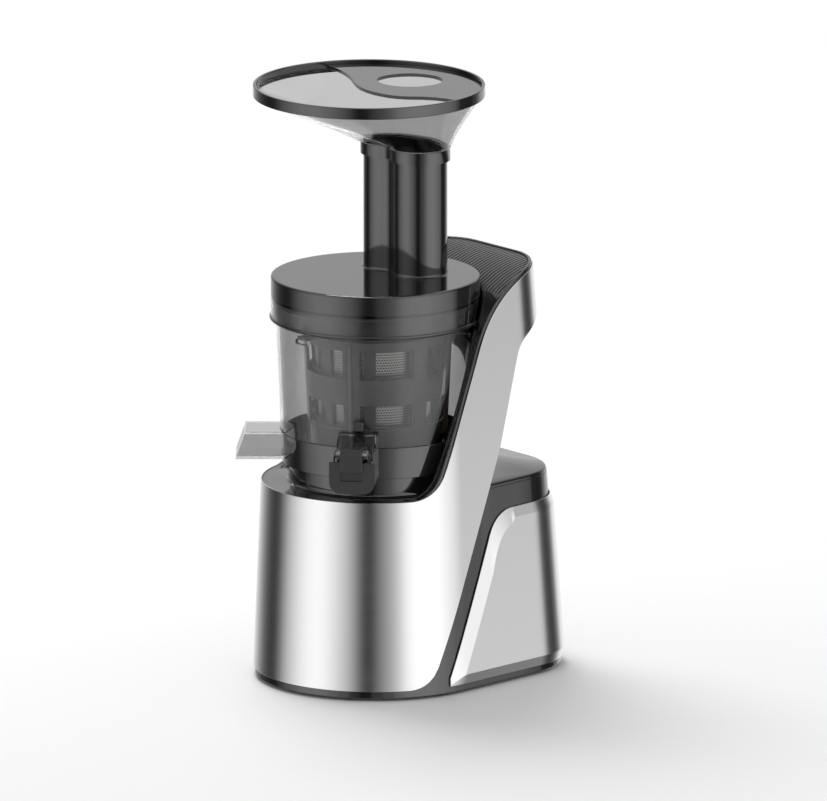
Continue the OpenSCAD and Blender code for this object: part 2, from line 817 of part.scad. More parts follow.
// Gears: teeth are straight sided with a little backlash, addendum and dedendum shares of the module
add_share = 0.78;
ded_share = 1.15;
root_share = 0.33;
tip_share = 0.12;
small_mod = 2 * stage_gap / (pinion_teeth + wheel_teeth);
last_gap = motor_y - 2 * stage_gap;
last_mod = 2 * last_gap / (last_teeth + output_teeth);
first_y = motor_y - stage_gap;
second_y = first_y - stage_gap;
tray_floor_z = can_top_z + gap;
tray_top_floor_z = tray_floor_z + wall;
output_foot_z = 96;
output_h = 13;
wheel_gap = 1.5;
first_foot_z = output_foot_z + output_h + wheel_gap;
wheel_h = 7;
pinion_foot_z = first_foot_z - wheel_gap / 3;
pinion_top_z = first_foot_z + wheel_h + wheel_gap;
second_foot_z = first_foot_z + wheel_h + 2 * wheel_gap;
second_top_z = second_foot_z + wheel_h;
lid_plate_low_z = second_top_z + 2 * wheel_gap;
lid_plate_z = lid_plate_low_z + wall;
pin_r = 3;
pin_hub_r = 4.6;
tray_wall = 2.2;
tray_room = 3;
hex_r = 7.5;
hex_gap = 0.2;

function spur_points(teeth, mod, r_add, r_ded, phase) = [
    for (i = [0 : teeth - 1]) let (a = phase + 360 * i / teeth, p = 360 / teeth)
    each [turn(r_ded, a - root_share * p), turn(r_add, a - tip_share * p),
        turn(r_add, a + tip_share * p), turn(r_ded, a + root_share * p)]
];

module spur(teeth, mod, low, high, bore, phase) {
    r = teeth * mod / 2;
    translate([0, 0, low]) linear_extrude(high - low) difference() {
        polygon(spur_points(teeth, mod, r + add_share * mod, r - ded_share * mod, phase));
        if (bore > 0) circle(bore);
    }
}

module first_gear() {
    color("ivory") translate([0, first_y, 0]) difference() {
        union() {
            spur(wheel_teeth, small_mod, first_foot_z, first_foot_z + wheel_h, 0, 90 + 180 / wheel_teeth);
            spur(pinion_teeth, small_mod, first_foot_z + wheel_h, second_top_z + wheel_gap, 0, -90);
        }
        disc(pin_r + run_gap, 0, far);
    }
}

module second_gear() {
    color("ivory") translate([0, second_y, 0]) difference() {
        union() {
            spur(wheel_teeth, small_mod, second_foot_z, second_top_z, 0, 90 + 180 / wheel_teeth);
            disc(pin_hub_r, output_foot_z, second_foot_z);
            spur(last_teeth, last_mod, output_foot_z, output_foot_z + output_h, 0, -90);
        }
        disc(pin_r + run_gap, 0, far);
    }
}

module output_gear() {
    color("ivory") spur(output_teeth, last_mod, output_foot_z, output_foot_z + output_h,
        drive_r + run_gap, 90 + 180 / output_teeth);
}

module drive_shaft() {
    color("silver") {
        disc(drive_r, tray_top_floor_z + gap, hex_foot_z);
        translate([0, 0, hex_foot_z]) cylinder(h = drive_top_z - hex_foot_z, r = hex_r, $fn = 6);
        ring(drive_r - run_gap, drive_r + tray_wall, output_foot_z + output_h, second_top_z);
    }
}

module tray_outline(extra) {
    circle(output_teeth * last_mod / 2 + last_mod + tray_room + extra);
    translate([0, second_y]) circle(wheel_teeth * small_mod / 2 + small_mod + tray_room + extra);
    translate([0, first_y]) circle(wheel_teeth * small_mod / 2 + small_mod + tray_room + extra);
    translate([0, motor_y]) circle(bearing_r + can_t + tray_room + extra);
}

module hanger_bars(low, high) {
    for (y = hanger_y) translate([-hanger_x - boss_r, y - boss_r, low])
        cube([2 * (hanger_x + boss_r), 2 * boss_r, high - low]);
}

module gearbox_tray() {
    color("silver") difference() {
        union() {
            translate([0, 0, tray_floor_z])
                linear_extrude(lid_plate_low_z - gap - tray_floor_z) tray_outline(tray_wall);
            at_motor() disc(stator_r + can_t + can_flange_w, tray_floor_z, tray_top_floor_z);
            hanger_bars(lid_plate_low_z - gap - wall, lid_plate_low_z - gap);
        }
        difference() {
            translate([0, 0, tray_top_floor_z]) linear_extrude(far) tray_outline(0);
            at_motor() disc(bearing_r + can_t, tray_floor_z, tray_top_floor_z + bearing_h);
            translate([0, first_y, 0]) disc(pin_hub_r, tray_floor_z, first_foot_z - seat_gap);
            translate([0, second_y, 0]) disc(pin_hub_r, tray_floor_z, output_foot_z - seat_gap);
        }
        at_motor() {
            disc(bearing_r + run_gap, tray_top_floor_z, far);
            disc(shaft_r + seat_gap, tray_floor_z - over, far);
            for (i = [0 : motor_screws - 1]) rotate(360 * i / motor_screws)
                translate([stator_r + can_t + can_flange_w / 2, 0, 0])
                    disc(screw_r / 2 + gap, tray_floor_z - over, tray_top_floor_z + over);
        }
        pin_places() disc(pin_r + run_gap, tray_floor_z + wall / 3, far);
        hanger_places() disc(screw_hole_r, tray_floor_z, far);
    }
}

module pin_places() {
    for (y = [first_y, second_y]) translate([0, y, 0]) children();
}

bearing_out_r = seal_r - gap;
out_bearing_h = 8;
module gearbox_cover() {
    color("silver") difference() {
        union() {
            translate([0, 0, lid_plate_low_z]) linear_extrude(wall) tray_outline(tray_wall);
            hanger_bars(lid_plate_low_z, lid_plate_z);
            disc(bearing_out_r + wall, lid_plate_low_z, lid_plate_z + out_bearing_h);
        }
        disc(bearing_out_r + run_gap, lid_plate_z, far);
        disc(drive_r + seat_gap, lid_plate_low_z - over, far);
        pin_places() disc(pin_r + run_gap, lid_plate_low_z - over, lid_plate_z - wall / 3);
        hanger_places() disc(screw_hole_r, 0, far);
    }
}

module gear_pins() {
    color("silver") pin_places() disc(pin_r, tray_floor_z + wall / 3 + gap, lid_plate_z - wall / 3 - gap);
}

module gearbox_screws() {
    head_z = lid_plate_low_z - gap - wall;
    color("silver") {
        hanger_places() {
            disc(screw_r, head_z, head_z + screw_len);
            disc(screw_head_r, head_z - 2 * screw_head_h, head_z);
        }
        at_motor() for (i = [0 : motor_screws - 1]) rotate(360 * i / motor_screws)
            translate([stator_r + can_t + can_flange_w / 2, 0, 0]) {
                disc(screw_r / 2, can_top_z - can_flange_t, tray_top_floor_z);
                disc(screw_r * 0.8, can_top_z - can_flange_t - screw_head_h, can_top_z - can_flange_t);
            }
    }
}

module output_bearing() {
    color("silver") ring(drive_r + run_gap, bearing_out_r, lid_plate_z, lid_plate_z + out_bearing_h);
}

module shaft_seal() {
    color("black") ring(drive_r + run_gap, seal_r - run_gap, seat_z - seal_h, seat_z - wall / 3);
}

// Electronics: a board in the posts, its capacitor and the lid sensor
relay_size = [18, 14, 12];
capacitor_r = 9;
capacitor_len = 26;
capacitor_x = 14;
capacitor_z = 46;
sensor_size = [12, 6, 8];
module control_board() {
    color("green") {
        translate([-board_w / 2, board_y - board_t / 2, board_foot_z + gap])
            cube([board_w, board_t, board_top_z - board_foot_z]);
        translate([-board_w / 2 + post_w, board_y + board_t / 2, capacitor_z - relay_size.z])
            cube([relay_size.x, relay_size.y, relay_size.z]);
        translate([-board_w / 2 + post_w, board_y + board_t / 2, capacitor_z + relay_size.z / 2])
            cube([relay_size.x, relay_size.z / 2, relay_size.y / 2]);
    }
}

module capacitor() {
    color("darkblue") translate([capacitor_x, board_y + board_t / 2, capacitor_z]) rotate([-90, 0, 0])
        cylinder(h = capacitor_len, r = capacitor_r);
}

module lid_sensor() {
    color("black") translate([-sensor_size.x / 2, recess_r + wall + gap, lid_step_z - sensor_size.z / 2])
        cube(sensor_size);
}

// Bowl: dark base, clear wall, spout and chute
base_floor_z = 160;
base_floor_t = 2.8;
hub_r = 12.4;
hub_bore_r = 10.5;
hub_top_z = 168;
bowl_drop = 3;
bowl_top_z = lid_step_z - bowl_drop;
spout_dir = spout_angle - 90;
chute_dir = chute_angle - 90;
lug_w = 12;
lug_angles = [30, 150, 270];
rest_z = cage_top_z + seat_gap;
function base_r(z) = mix(base_r_foot, base_r_top, (z - seat_z) / (bowl_joint_z - seat_z));
function bowl_r(z) =
    mix(base_r_top, bowl_r_top, min(1, (z - bowl_joint_z) / (lid_foot_z - bowl_joint_z)));

spout_root_z = 188.5;
spout_mouth_top_z = 174;
spout_mouth_foot_z = 153;
spout_root_foot_z = 158.2;
spout_wall = 2;
spout_knee_r = base_r_top + over;
chute_foot_z = 158;
chute_top_z = 177.6;

module spout_room() {
    outwards(spout_dir, spout_w - 2 * spout_wall) polygon([
        [hub_r + drive_r + spout_w, base_floor_z + gap], [spout_knee_r, base_floor_z + gap],
        [spout_reach + over, spout_mouth_foot_z + spout_wall],
        [spout_reach + over, spout_mouth_top_z - spout_wall], [spout_knee_r, bowl_joint_z - spout_wall],
        [hub_r + drive_r + spout_w, bowl_joint_z - spout_wall]
    ]);
}

module chute_room() {
    outwards(chute_dir, chute_w - 2 * spout_wall) polygon([
        [hub_r + drive_r + spout_w, base_floor_z + gap], [far, base_floor_z + gap],
        [far, chute_top_z - spout_wall - gap], [base_r_top + spout_wall, chute_top_z - spout_wall - gap],
        [base_r_foot, bowl_joint_z - spout_wall], [hub_r + drive_r + spout_w, bowl_joint_z - spout_wall]
    ]);
}

module bowl_base() {
    floor_low_z = base_floor_z - base_floor_t;
    color("dimgray") difference() {
        rotate_extrude() polygon([
            [hub_bore_r, floor_low_z], [base_r_foot - 2 * bowl_wall, floor_low_z],
            [base_r_foot - 2 * bowl_wall, seat_z], [base_r_foot, seat_z], [base_r_top, bowl_joint_z],
            [base_r_top - bowl_wall, bowl_joint_z], [base_r(base_floor_z) - bowl_wall, base_floor_z],
            [hub_r, base_floor_z], [hub_r, hub_top_z], [hub_bore_r, hub_top_z]
        ]);
        spout_room();
        chute_room();
        rotate(chute_dir) translate([plug_reach, 0, 0]) disc(plug_r + gap, seat_z, bowl_joint_z);
    }
}

module juicing_bowl() {
    color("lightgray") {
        rotate_extrude() polygon([
            [base_r_top - bowl_wall, bowl_joint_z], [base_r_top, bowl_joint_z], [bowl_r_top, lid_foot_z],
            [bowl_r_top, bowl_top_z], [bowl_r_top - bowl_wall, bowl_top_z],
            [bowl_r_top - bowl_wall, lid_foot_z]
        ]);
        intersection() {
            for (a = lug_angles) rotate(a) translate([0, -lug_w / 2, rest_z - lug_w / 4])
                cube([far, lug_w, lug_w / 4]);
            ring(bowl_r(rest_z) - bowl_wall - lug_w / 4,
                bowl_r(rest_z - lug_w / 4) - bowl_wall / 2, 0, 2 * far);
        }
    }
}

module bowl_outside() {
    rotate_extrude() polygon([
        [0, seat_z - over], [base_r_foot + gap, seat_z - over], [base_r_foot + gap, seat_z],
        [base_r_top + gap, bowl_joint_z], [bowl_r_top + gap, lid_foot_z], [0, lid_foot_z]
    ]);
}

hinge_r = 3;
hinge_pin_r = 1.5;
hinge_out = 2.6;
hinge_up = 5.4;
hinge_reach = spout_reach + hinge_out;
hinge_z = spout_mouth_top_z + hinge_up;
ear_w = 3;
module juice_spout() {
    color("lightgray") difference() {
        union() {
            outwards(spout_dir, spout_w) polygon([
                [base_r_foot - bowl_wall, spout_root_foot_z], [spout_reach, spout_mouth_foot_z],
                [spout_reach, spout_mouth_top_z], [spout_knee_r, spout_root_z],
                [base_r_foot - bowl_wall, spout_root_z]
            ]);
            for (m = [-1, 1]) rotate(spout_dir) translate([0, m * (lever_w / 2 + seat_gap + ear_w / 2), 0])
                outwards(0, ear_w) polygon([
                    [spout_reach - 3 * hinge_r, spout_mouth_top_z - spout_wall],
                    [spout_reach, spout_mouth_top_z - spout_wall],
                    [hinge_reach + hinge_r, hinge_z - hinge_r / 2],
                    [hinge_reach + hinge_r, hinge_z + hinge_r],
                    [hinge_reach - hinge_r, hinge_z + hinge_r]
                ]);
        }
        outwards(spout_dir, spout_w - 2 * spout_wall) polygon([
            [0, spout_root_foot_z + spout_wall], [spout_reach + over, spout_mouth_foot_z + spout_wall],
            [spout_reach + over, spout_mouth_top_z - 1.5 * spout_wall],
            [spout_knee_r, spout_root_z - 1.2 * spout_wall],
            [0, spout_root_z - 1.2 * spout_wall]
        ]);
        bowl_outside();
        hinge_axis() cylinder(h = 2 * far, r = hinge_pin_r + run_gap, center = true);
    }
}

// Dark catch on the root of the spout
catch_w = 7.6;
catch_h = 8;
catch_d = 4;
module spout_catch() {
    color("black") difference() {
        outwards(spout_dir, catch_w) polygon([
            [base_r_foot - bowl_wall, spout_root_z], [spout_knee_r, spout_root_z],
            [spout_knee_r + catch_d, spout_root_z + catch_d / 2],
            [spout_knee_r + catch_d, spout_root_z + catch_h],
            [base_r_foot - bowl_wall, spout_root_z + catch_h]
        ]);
        bowl_outside();
    }
}

module hinge_axis() {
    rotate(spout_dir) translate([hinge_reach, 0, hinge_z]) rotate([90, 0, 0]) children();
}

module pulp_chute() {
    color("lightgray") difference() {
        outwards(chute_dir, chute_w) polygon([
            [base_r_foot - bowl_wall, chute_foot_z], [chute_reach + chute_lip, chute_foot_z],
            [chute_reach, chute_top_z], [base_r_foot - bowl_wall, chute_top_z]
        ]);
        outwards(chute_dir, chute_w - 2 * spout_wall) polygon([
            [0, chute_foot_z + spout_wall], [far, chute_foot_z + spout_wall],
            [far, chute_top_z - spout_wall], [0, chute_top_z - spout_wall]
        ]);
        bowl_outside();
    }
}

module bowl_seal() {
    color("black")
        ring(drive_r + seat_gap, hub_bore_r - run_gap, base_floor_z - base_floor_t, hub_top_z - wall);
}

plug_reach = 44;
plug_r = 7;
plug_lip = 1.5;
module pulp_plug() {
    color("gray") rotate(chute_dir) translate([plug_reach, 0, 0]) {
        disc(plug_r, base_floor_z - base_floor_t, base_floor_z + gap);
        disc(plug_r + plug_lip, base_floor_z - base_floor_t - plug_lip, base_floor_z - base_floor_t);
    }
}

// Brush drive on the floor of the bowl: sun on the auger, idler and ring on the brush
brush_mod = 2;
sun_teeth = 18;
idler_teeth = 11;
ring_teeth = sun_teeth + 2 * idler_teeth;
idler_y = (sun_teeth + idler_teeth) * brush_mod / 2;
brush_foot_z = base_floor_z + seat_gap;
brush_gear_top_z = hub_top_z - 2 * seat_gap;
ring_in_r = (ring_teeth / 2 - 2) * brush_mod;

module idler_pin() {
    color("silver") translate([0, idler_y, 0]) disc(pin_r, base_floor_z, brush_gear_top_z);
}

module brush_idler() {
    color("ivory") translate([0, idler_y, 0])
        spur(idler_teeth, brush_mod, brush_foot_z, brush_gear_top_z, pin_r + run_gap,
            -90 + 180 / idler_teeth);
}

strainer_foot_z = hub_top_z + gap;
strainer_t = 2.2;
mesh_t = 0.5;
window_rows = [[186, 203], [222, 242]];
strainer_bays = 8;
window_share = 0.76;
function strainer_r(z) =
    mix(strainer_r_foot, strainer_r_top, (z - strainer_foot_z) / (cage_top_z - strainer_foot_z));
function cage_r(z) = mix(cage_r_foot, cage_r_top, (z - brush_foot_z) / (cage_top_z - brush_foot_z));

module cone_wall(r_low, r_high, t, low, high) {
    rotate_extrude() polygon([[r_low - t, low], [r_low, low], [r_high, high], [r_high - t, high]]);
}

module windows(bays, share, rows) {
    a = 180 * share / bays;
    for (i = [0 : bays - 1], r = rows) rotate(360 * (i + 0.5) / bays) translate([0, 0, r[0]])
        linear_extrude(r[1] - r[0]) polygon([
            turn(core_low_r, -a), turn(far, -a), turn(far, a), turn(core_low_r, a)
        ]);
}

module strainer_frame() {
    color("dimgray") {
        difference() {
            cone_wall(strainer_r_foot, strainer_r_top, strainer_t, strainer_foot_z, cage_top_z);
            windows(strainer_bays, window_share, window_rows);
        }
        ring(sun_teeth * brush_mod / 2 + wall, strainer_r_foot - strainer_t / 2,
            strainer_foot_z, strainer_foot_z + wall);
        difference() {
            intersection() {
                union() {
                    for (a = lug_angles) rotate(a) translate([0, -lug_w / 2 + over, rest_z])
                        cube([bowl_r(rest_z) - bowl_wall - seat_gap, lug_w - 2 * over, wall]);
                    disc(strainer_r_top + wall, rest_z, rest_z + wall);
                }
                disc(bowl_r(rest_z) - bowl_wall - seat_gap, 0, 2 * far);
            }
            disc(strainer_r_top - strainer_t, 0, 2 * far);
        }
        ring(strainer_r_top - strainer_t, strainer_r_top, cage_top_z - over, rest_z + wall);
    }
}

module strainer_mesh() {
    low = strainer_foot_z + wall + gap;
    inset = strainer_t + gap;
    color("silver") cone_wall(strainer_r(low) - inset, strainer_r_top - inset, mesh_t, low, cage_top_z);
}

cage_t = 2.2;
arm_n = 3;
module brush_frame() {
    color("dimgray") {
        difference() {
            cone_wall(cage_r(brush_gear_top_z), cage_r_top, cage_t, brush_gear_top_z - gap, cage_top_z);
            windows(2 * arm_n, window_share, window_rows);
        }
        difference() {
            cone_wall(cage_r(brush_foot_z), cage_r(brush_gear_top_z), cage_r_foot - ring_in_r,
                brush_foot_z, brush_gear_top_z);
            translate([0, 0, brush_foot_z - over]) linear_extrude(far)
                polygon(spur_points(ring_teeth, brush_mod,
                    (ring_teeth / 2 + ded_share) * brush_mod, (ring_teeth / 2 - add_share) * brush_mod, 90));
        }
    }
}

wiper_t = 1.4;
wiper_reach = 4;
module brush_wipers() {
    low = hub_top_z + 2 * wall;
    high = cage_top_z - wall;
    color("gray") for (i = [0 : arm_n - 1]) rotate(60 + 360 * i / arm_n) {
        outwards(0, wiper_t) polygon([
            [cage_r(low) + 2 * gap, low], [cage_r(low) + wiper_reach, low],
            [cage_r(high) + wiper_reach, high], [cage_r(high) + 2 * gap, high]
        ]);
        outwards(0, wiper_t) polygon([
            [strainer_r(low) + seat_gap, low], [cage_r(low) - cage_t - 2 * gap, low],
            [cage_r(high) - cage_t - 2 * gap, high], [strainer_r(high) + seat_gap, high]
        ]);
    }
}

// Auger: hub with the sun gear, tapered core and a flight along a helix
hex_foot_z = 166;
auger_foot_z = strainer_foot_z + wall + seat_gap;
auger_top_z = 246;
stub_r = 6;
stub_top_z = 259;
core_low_r = 31;
core_high_r = 14;
flight_turns = 2.6;
flight_n = 64;
flight_low_r = 36.6;
flight_high_r = 41;
flight_root_t = 5;
flight_tip_t = 2.4;
flight_foot_z = auger_foot_z + 3;
flight_top_z = auger_top_z - 6;
socket_room = 1.5;
socket_top_z = drive_top_z + socket_room;

function core_r(t) = mix(core_low_r, core_high_r, t);
function flight_ring(i) =
    let (t = i / flight_n, a = 360 * flight_turns * t, z = mix(flight_foot_z, flight_top_z, t),
        r = mix(flight_low_r, flight_high_r, t),
        in = core_r((z - auger_foot_z) / (auger_top_z - auger_foot_z)) - 2 * over)
    [for (q = [[in, -flight_root_t], [r, -flight_tip_t], [r, flight_tip_t], [in, flight_root_t]])
        [q[0] * cos(a), q[0] * sin(a), z + q[1] / 2]];
module flight() {
    polyhedron(
        [for (i = [0 : flight_n]) each flight_ring(i)],
        concat(
            [[3, 2, 1, 0]], [[for (k = [0 : 3]) 4 * flight_n + k]],
            [for (i = [0 : flight_n - 1], k = [0 : 3]) let (q = (k + 1) % 4, a = 4 * i, b = 4 * i + 4)
                each [[a + k, a + q, b + q], [a + k, b + q, b + k]]]
        )
    );
}

module auger() {
    color("dimgray") {
        difference() {
            union() {
                spur(sun_teeth, brush_mod, brush_foot_z, brush_gear_top_z + 2 * gap, 0, 90);
                rotate_extrude() polygon([
                    [0, brush_gear_top_z + gap], [sun_teeth * brush_mod / 2 - over, brush_gear_top_z + gap],
                    [sun_teeth * brush_mod / 2 - over, auger_foot_z], [core_low_r, auger_foot_z],
                    [core_high_r, auger_top_z], [stub_r, auger_top_z],
                    [stub_r, stub_top_z], [0, stub_top_z]
                ]);
                flight();
            }
            disc(hub_r + seat_gap, 0, hub_top_z + seat_gap);
            cylinder(h = socket_top_z, r = hex_r + hex_gap, $fn = 6);
        }
    }
}

// Drip cap with its lever, turning on a pin above the mouth of the spout
cap_gap = 1;
cap_top_z = spout_mouth_top_z - over;
cap_foot_z = 151;
cap_corner_r = 8;
slot_h = 6.6;
lever_foot_z = 166.6;
lever_top_z = hinge_z + 4;
lever_t = 2;
module juice_cap() {
    face = spout_reach + cap_gap;
    color("black") difference() {
        union() {
            rotate(spout_dir) translate([face, 0, 0]) rotate([90, 0, 90]) linear_extrude(cap_t)
                polygon(rounded(
                    [[-cap_w / 2, cap_foot_z], [cap_w / 2, cap_foot_z], [cap_w / 2, cap_top_z],
                        [-cap_w / 2, cap_top_z]],
                    [cap_corner_r, cap_corner_r, 0, 0]
                ));
            outwards(spout_dir, lever_w) polygon([
                [hinge_reach - hinge_r / 2, lever_top_z], [hinge_reach + hinge_r + over, lever_top_z],
                [face + cap_t + lever_t, lever_foot_z], [face + over, lever_foot_z],
                [face + over, cap_top_z], [hinge_reach - hinge_r / 2, hinge_z]
            ]);
            hinge_axis() cylinder(h = lever_w, r = hinge_r, center = true);
        }
        hinge_axis() cylinder(h = 2 * far, r = hinge_pin_r + run_gap, center = true);
        outwards(spout_dir, lever_w) polygon([
            [face + cap_t / 2, lever_foot_z], [face + 2 * cap_t, lever_foot_z],
            [face + 2 * cap_t, lever_foot_z - slot_h], [face + cap_t / 2, lever_foot_z - slot_h]
        ]);
    }
}

module cap_seal() {
    color("gray") outwards(spout_dir, spout_w - spout_wall / 2) polygon([
        [spout_reach + gap, spout_mouth_foot_z + spout_wall / 4],
        [spout_reach + cap_gap, spout_mouth_foot_z + spout_wall / 4],
        [spout_reach + cap_gap, cap_top_z - spout_wall / 2],
        [spout_reach + gap, cap_top_z - spout_wall / 2]
    ]);
}

module cap_hinge_pin() {
    color("silver") hinge_axis()
        cylinder(h = lever_w + 2 * seat_gap + 2 * ear_w, r = hinge_pin_r, center = true);
}

// Lid with its bean shaped feed tube
lid_t = 3;
skirt_t = 2;
tube_t = 2.2;
bush_r = 10;
bush_foot_z = 251;
magnet_r = 4;
magnet_h = 5;
tube_n = 14;
collar_h = 8;
collar_t = 1.8;
function bean(w) = let (inner = tube_turn_r - w, outer = tube_turn_r + w) concat(
    [for (i = [0 : tube_n]) turn(outer, 90 - tube_half_a + 2 * tube_half_a * i / tube_n)],
    [for (i = [1 : tube_n - 1]) turn(tube_turn_r, 90 + tube_half_a)
        + turn(w, 90 + tube_half_a + 180 * i / tube_n)],
    [for (i = [0 : tube_n]) turn(inner, 90 + tube_half_a - 2 * tube_half_a * i / tube_n)],
    [for (i = [1 : tube_n - 1]) turn(tube_turn_r, 90 - tube_half_a)
        + turn(w, 270 - tube_half_a + 180 * i / tube_n)]
);
module bean_prism(w, low, high) {
    translate([0, 0, low]) linear_extrude(high - low) polygon(bean(w));
}

module lid() {
    shelf_r = bowl_r_top - 2 * bowl_wall;
    color("dimgray") difference() {
        union() {
            rotate_extrude() polygon([
                [bush_r + gap, lid_top_z - lid_t], [shelf_r - skirt_t, lid_top_z - lid_t],
                [shelf_r - skirt_t, lid_step_z], [lid_r - skirt_t, lid_step_z],
                [lid_r - skirt_t, lid_foot_z], [lid_r, lid_foot_z], [lid_r, lid_top_z - over],
                [lid_r - over, lid_top_z], [0, lid_top_z], [0, lid_top_z - skirt_t],
                [bush_r + gap, lid_top_z - skirt_t]
            ]);
            ring(bush_r + gap, bush_r + gap + skirt_t, bush_foot_z, lid_top_z - lid_t + over);
            ring(strainer_r_top + over, strainer_r_top + over + 0.8 * skirt_t,
                rest_z + wall + seat_gap, lid_top_z - lid_t + over);
            bean_prism(tube_half_w, lid_top_z - lid_t, tube_top_z);
        }
        bean_prism(tube_half_w - tube_t, bush_foot_z - over, tube_top_z + over);
        translate([0, magnet_reach, 0]) disc(magnet_r + gap, lid_step_z - over, lid_step_z + magnet_h);
    }
}
magnet_reach = lid_r - magnet_r - over;

module lid_seal() {
    color("gray") ring(bowl_r_top - bowl_wall, bowl_r_top + 2 * seat_gap, bowl_top_z + gap, lid_step_z);
}

module lid_magnet() {
    color("silver") translate([0, magnet_reach, 0]) disc(magnet_r, lid_step_z + gap, lid_step_z + magnet_h);
}

module auger_bush() {
    color("gray") ring(stub_r + run_gap, bush_r, bush_foot_z, stub_top_z + seat_gap);
}

// Hopper: sleeve on the feed tube, funnel, rim ring and the half cover
hopper_t = 1.8;
flange_t = 1.6;
rim_t = 2.4;
flange_z = hopper_top_z - plate_drop - plate_t - gap - flange_t;
sleeve_gap = 0.3;
funnel_r = hopper_r - rim_t - gap;
function hopper_circle(r, z) = [
    for (p = bean(tube_half_w)) let (a = atan2(p.y - tube_turn_r, p.x))
        [r * cos(a), r * sin(a) - hopper_shift, z]
];
module funnel(outer_w, outer_r, low, high) {
    between(raised(bean(outer_w), low), hopper_circle(outer_r, high));
}

module hopper() {
    sleeve_w = tube_half_w + sleeve_gap + collar_t;
    color("lightgray") difference() {
        union() {
            funnel(sleeve_w, funnel_r, tube_top_z + sleeve_gap, flange_z + flange_t);
            bean_prism(sleeve_w, tube_top_z - collar_h, tube_top_z + sleeve_gap);
        }
        funnel(tube_half_w - tube_t, funnel_r - hopper_t * 1.6, tube_top_z, flange_z + flange_t + over / 10);
        bean_prism(tube_half_w + sleeve_gap, tube_top_z - collar_h - over, tube_top_z + sleeve_gap);
    }
}

module hopper_rim() {
    color("black") translate([0, -hopper_shift, 0])
        ring(hopper_r - rim_t, hopper_r, hopper_top_z - rim_h, hopper_top_z);
}

eye_r = 23.3;
eye_half_w = 21.5;
eye_angle = 38.9;
plate_gap = 0.4;
wave_shares = [
    [-1.084, 0.318], [-0.914, 0.305], [-0.784, 0.283], [-0.662, 0.247], [-0.539, 0.198],
    [-0.416, 0.137], [-0.299, 0.066], [-0.181, -0.002], [-0.064, -0.052], [0.053, -0.082],
    [0.161, -0.092], [0.264, -0.084], [0.356, -0.067], [0.435, -0.035], [0.516, 0.023], [0.6, 0.113],
    [0.696, 0.183], [0.796, 0.225], [0.885, 0.247], [0.956, 0.258], [1.1, 0.272]
];
module hopper_cover() {
    r = hopper_r - rim_t - plate_gap;
    color("dimgray") difference() {
        translate([0, -hopper_shift, flange_z + flange_t + gap]) linear_extrude(plate_t) intersection() {
            circle(r);
            polygon(concat([for (p = wave_shares) p * r], [[r, 2 * r], [-r, 2 * r]]));
        }
        translate([0, tube_turn_r, hopper_top_z]) rotate(eye_angle) intersection_for (s = [-1, 1])
            translate([0, s * (eye_r - eye_half_w), 0]) cylinder(h = far, r = eye_r, center = true);
    }
}

base_plate();
rubber_feet();
base_screws();
main_housing();
cradle_liner();
front_steel_shell();
rear_steel_shell();
rear_top_cover();
column_rib_cap();
cord_gland();
switch_bezel();
motor_can();
motor_stator();
motor_windings();
motor_bearings();
motor_damper();
gearbox_tray();
gearbox_cover();
gearbox_screws();
gear_pins();
output_bearing();
shaft_seal();
control_board();
capacitor();
lid_sensor();
rocker_switch();
motor_shaft();
rotor_core();
cooling_fan();
first_gear();
second_gear();
output_gear();
drive_shaft();
juicing_bowl();
bowl_base();
juice_spout();
pulp_chute();
spout_catch();
bowl_seal();
pulp_plug();
idler_pin();
strainer_frame();
strainer_mesh();
brush_idler();
brush_frame();
brush_wipers();
auger();
juice_cap();
cap_seal();
cap_hinge_pin();
lid();
lid_seal();
lid_magnet();
auger_bush();
hopper();
hopper_rim();
hopper_cover();
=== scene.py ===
"""Looks of a slow juicer: brushed steel skins, clear bowl, smoky lid and hopper, and the studio round it.

Metres, in the frame of the solids: the origin is on the floor under the drive axis, +Z up, front at -Y.
"""

import json
import math

import bmesh
import bpy
from bpy.props import FloatProperty, FloatVectorProperty, IntProperty, PointerProperty
from mathutils import Matrix, Vector

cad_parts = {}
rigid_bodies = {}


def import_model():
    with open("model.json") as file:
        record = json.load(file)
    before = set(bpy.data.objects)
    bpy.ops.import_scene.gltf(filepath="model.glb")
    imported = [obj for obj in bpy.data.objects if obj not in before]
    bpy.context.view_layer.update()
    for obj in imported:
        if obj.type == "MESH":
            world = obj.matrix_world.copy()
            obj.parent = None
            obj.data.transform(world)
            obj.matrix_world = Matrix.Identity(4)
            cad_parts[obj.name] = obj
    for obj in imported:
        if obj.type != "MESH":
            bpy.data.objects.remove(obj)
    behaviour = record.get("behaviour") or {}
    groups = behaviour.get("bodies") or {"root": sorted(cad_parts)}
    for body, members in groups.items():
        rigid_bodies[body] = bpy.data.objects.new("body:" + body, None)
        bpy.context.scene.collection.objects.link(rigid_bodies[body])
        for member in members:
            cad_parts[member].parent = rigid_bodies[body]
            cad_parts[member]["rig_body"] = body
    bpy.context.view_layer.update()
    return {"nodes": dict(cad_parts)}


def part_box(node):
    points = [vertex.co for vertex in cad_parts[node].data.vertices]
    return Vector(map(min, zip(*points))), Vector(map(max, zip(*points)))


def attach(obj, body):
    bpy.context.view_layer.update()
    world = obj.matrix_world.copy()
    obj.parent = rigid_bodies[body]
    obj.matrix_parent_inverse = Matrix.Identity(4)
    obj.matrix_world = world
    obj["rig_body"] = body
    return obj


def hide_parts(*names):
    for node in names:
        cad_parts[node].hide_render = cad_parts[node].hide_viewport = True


bl_info = {
    "name": "Slow juicer looks",
    "version": (1, 0, 0),
    "blender": (4, 5, 0),
    "location": "3D View > Sidebar > Juicer",
    "description": "Steel, clear and smoky pieces of a slow juicer, and its studio",
    "category": "Object",
}

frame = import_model()

CLOSE = 1e-6  # points nearer to each other than this, in metres, are one point
NIL = 1e-9  # shares and lengths below this count as nothing


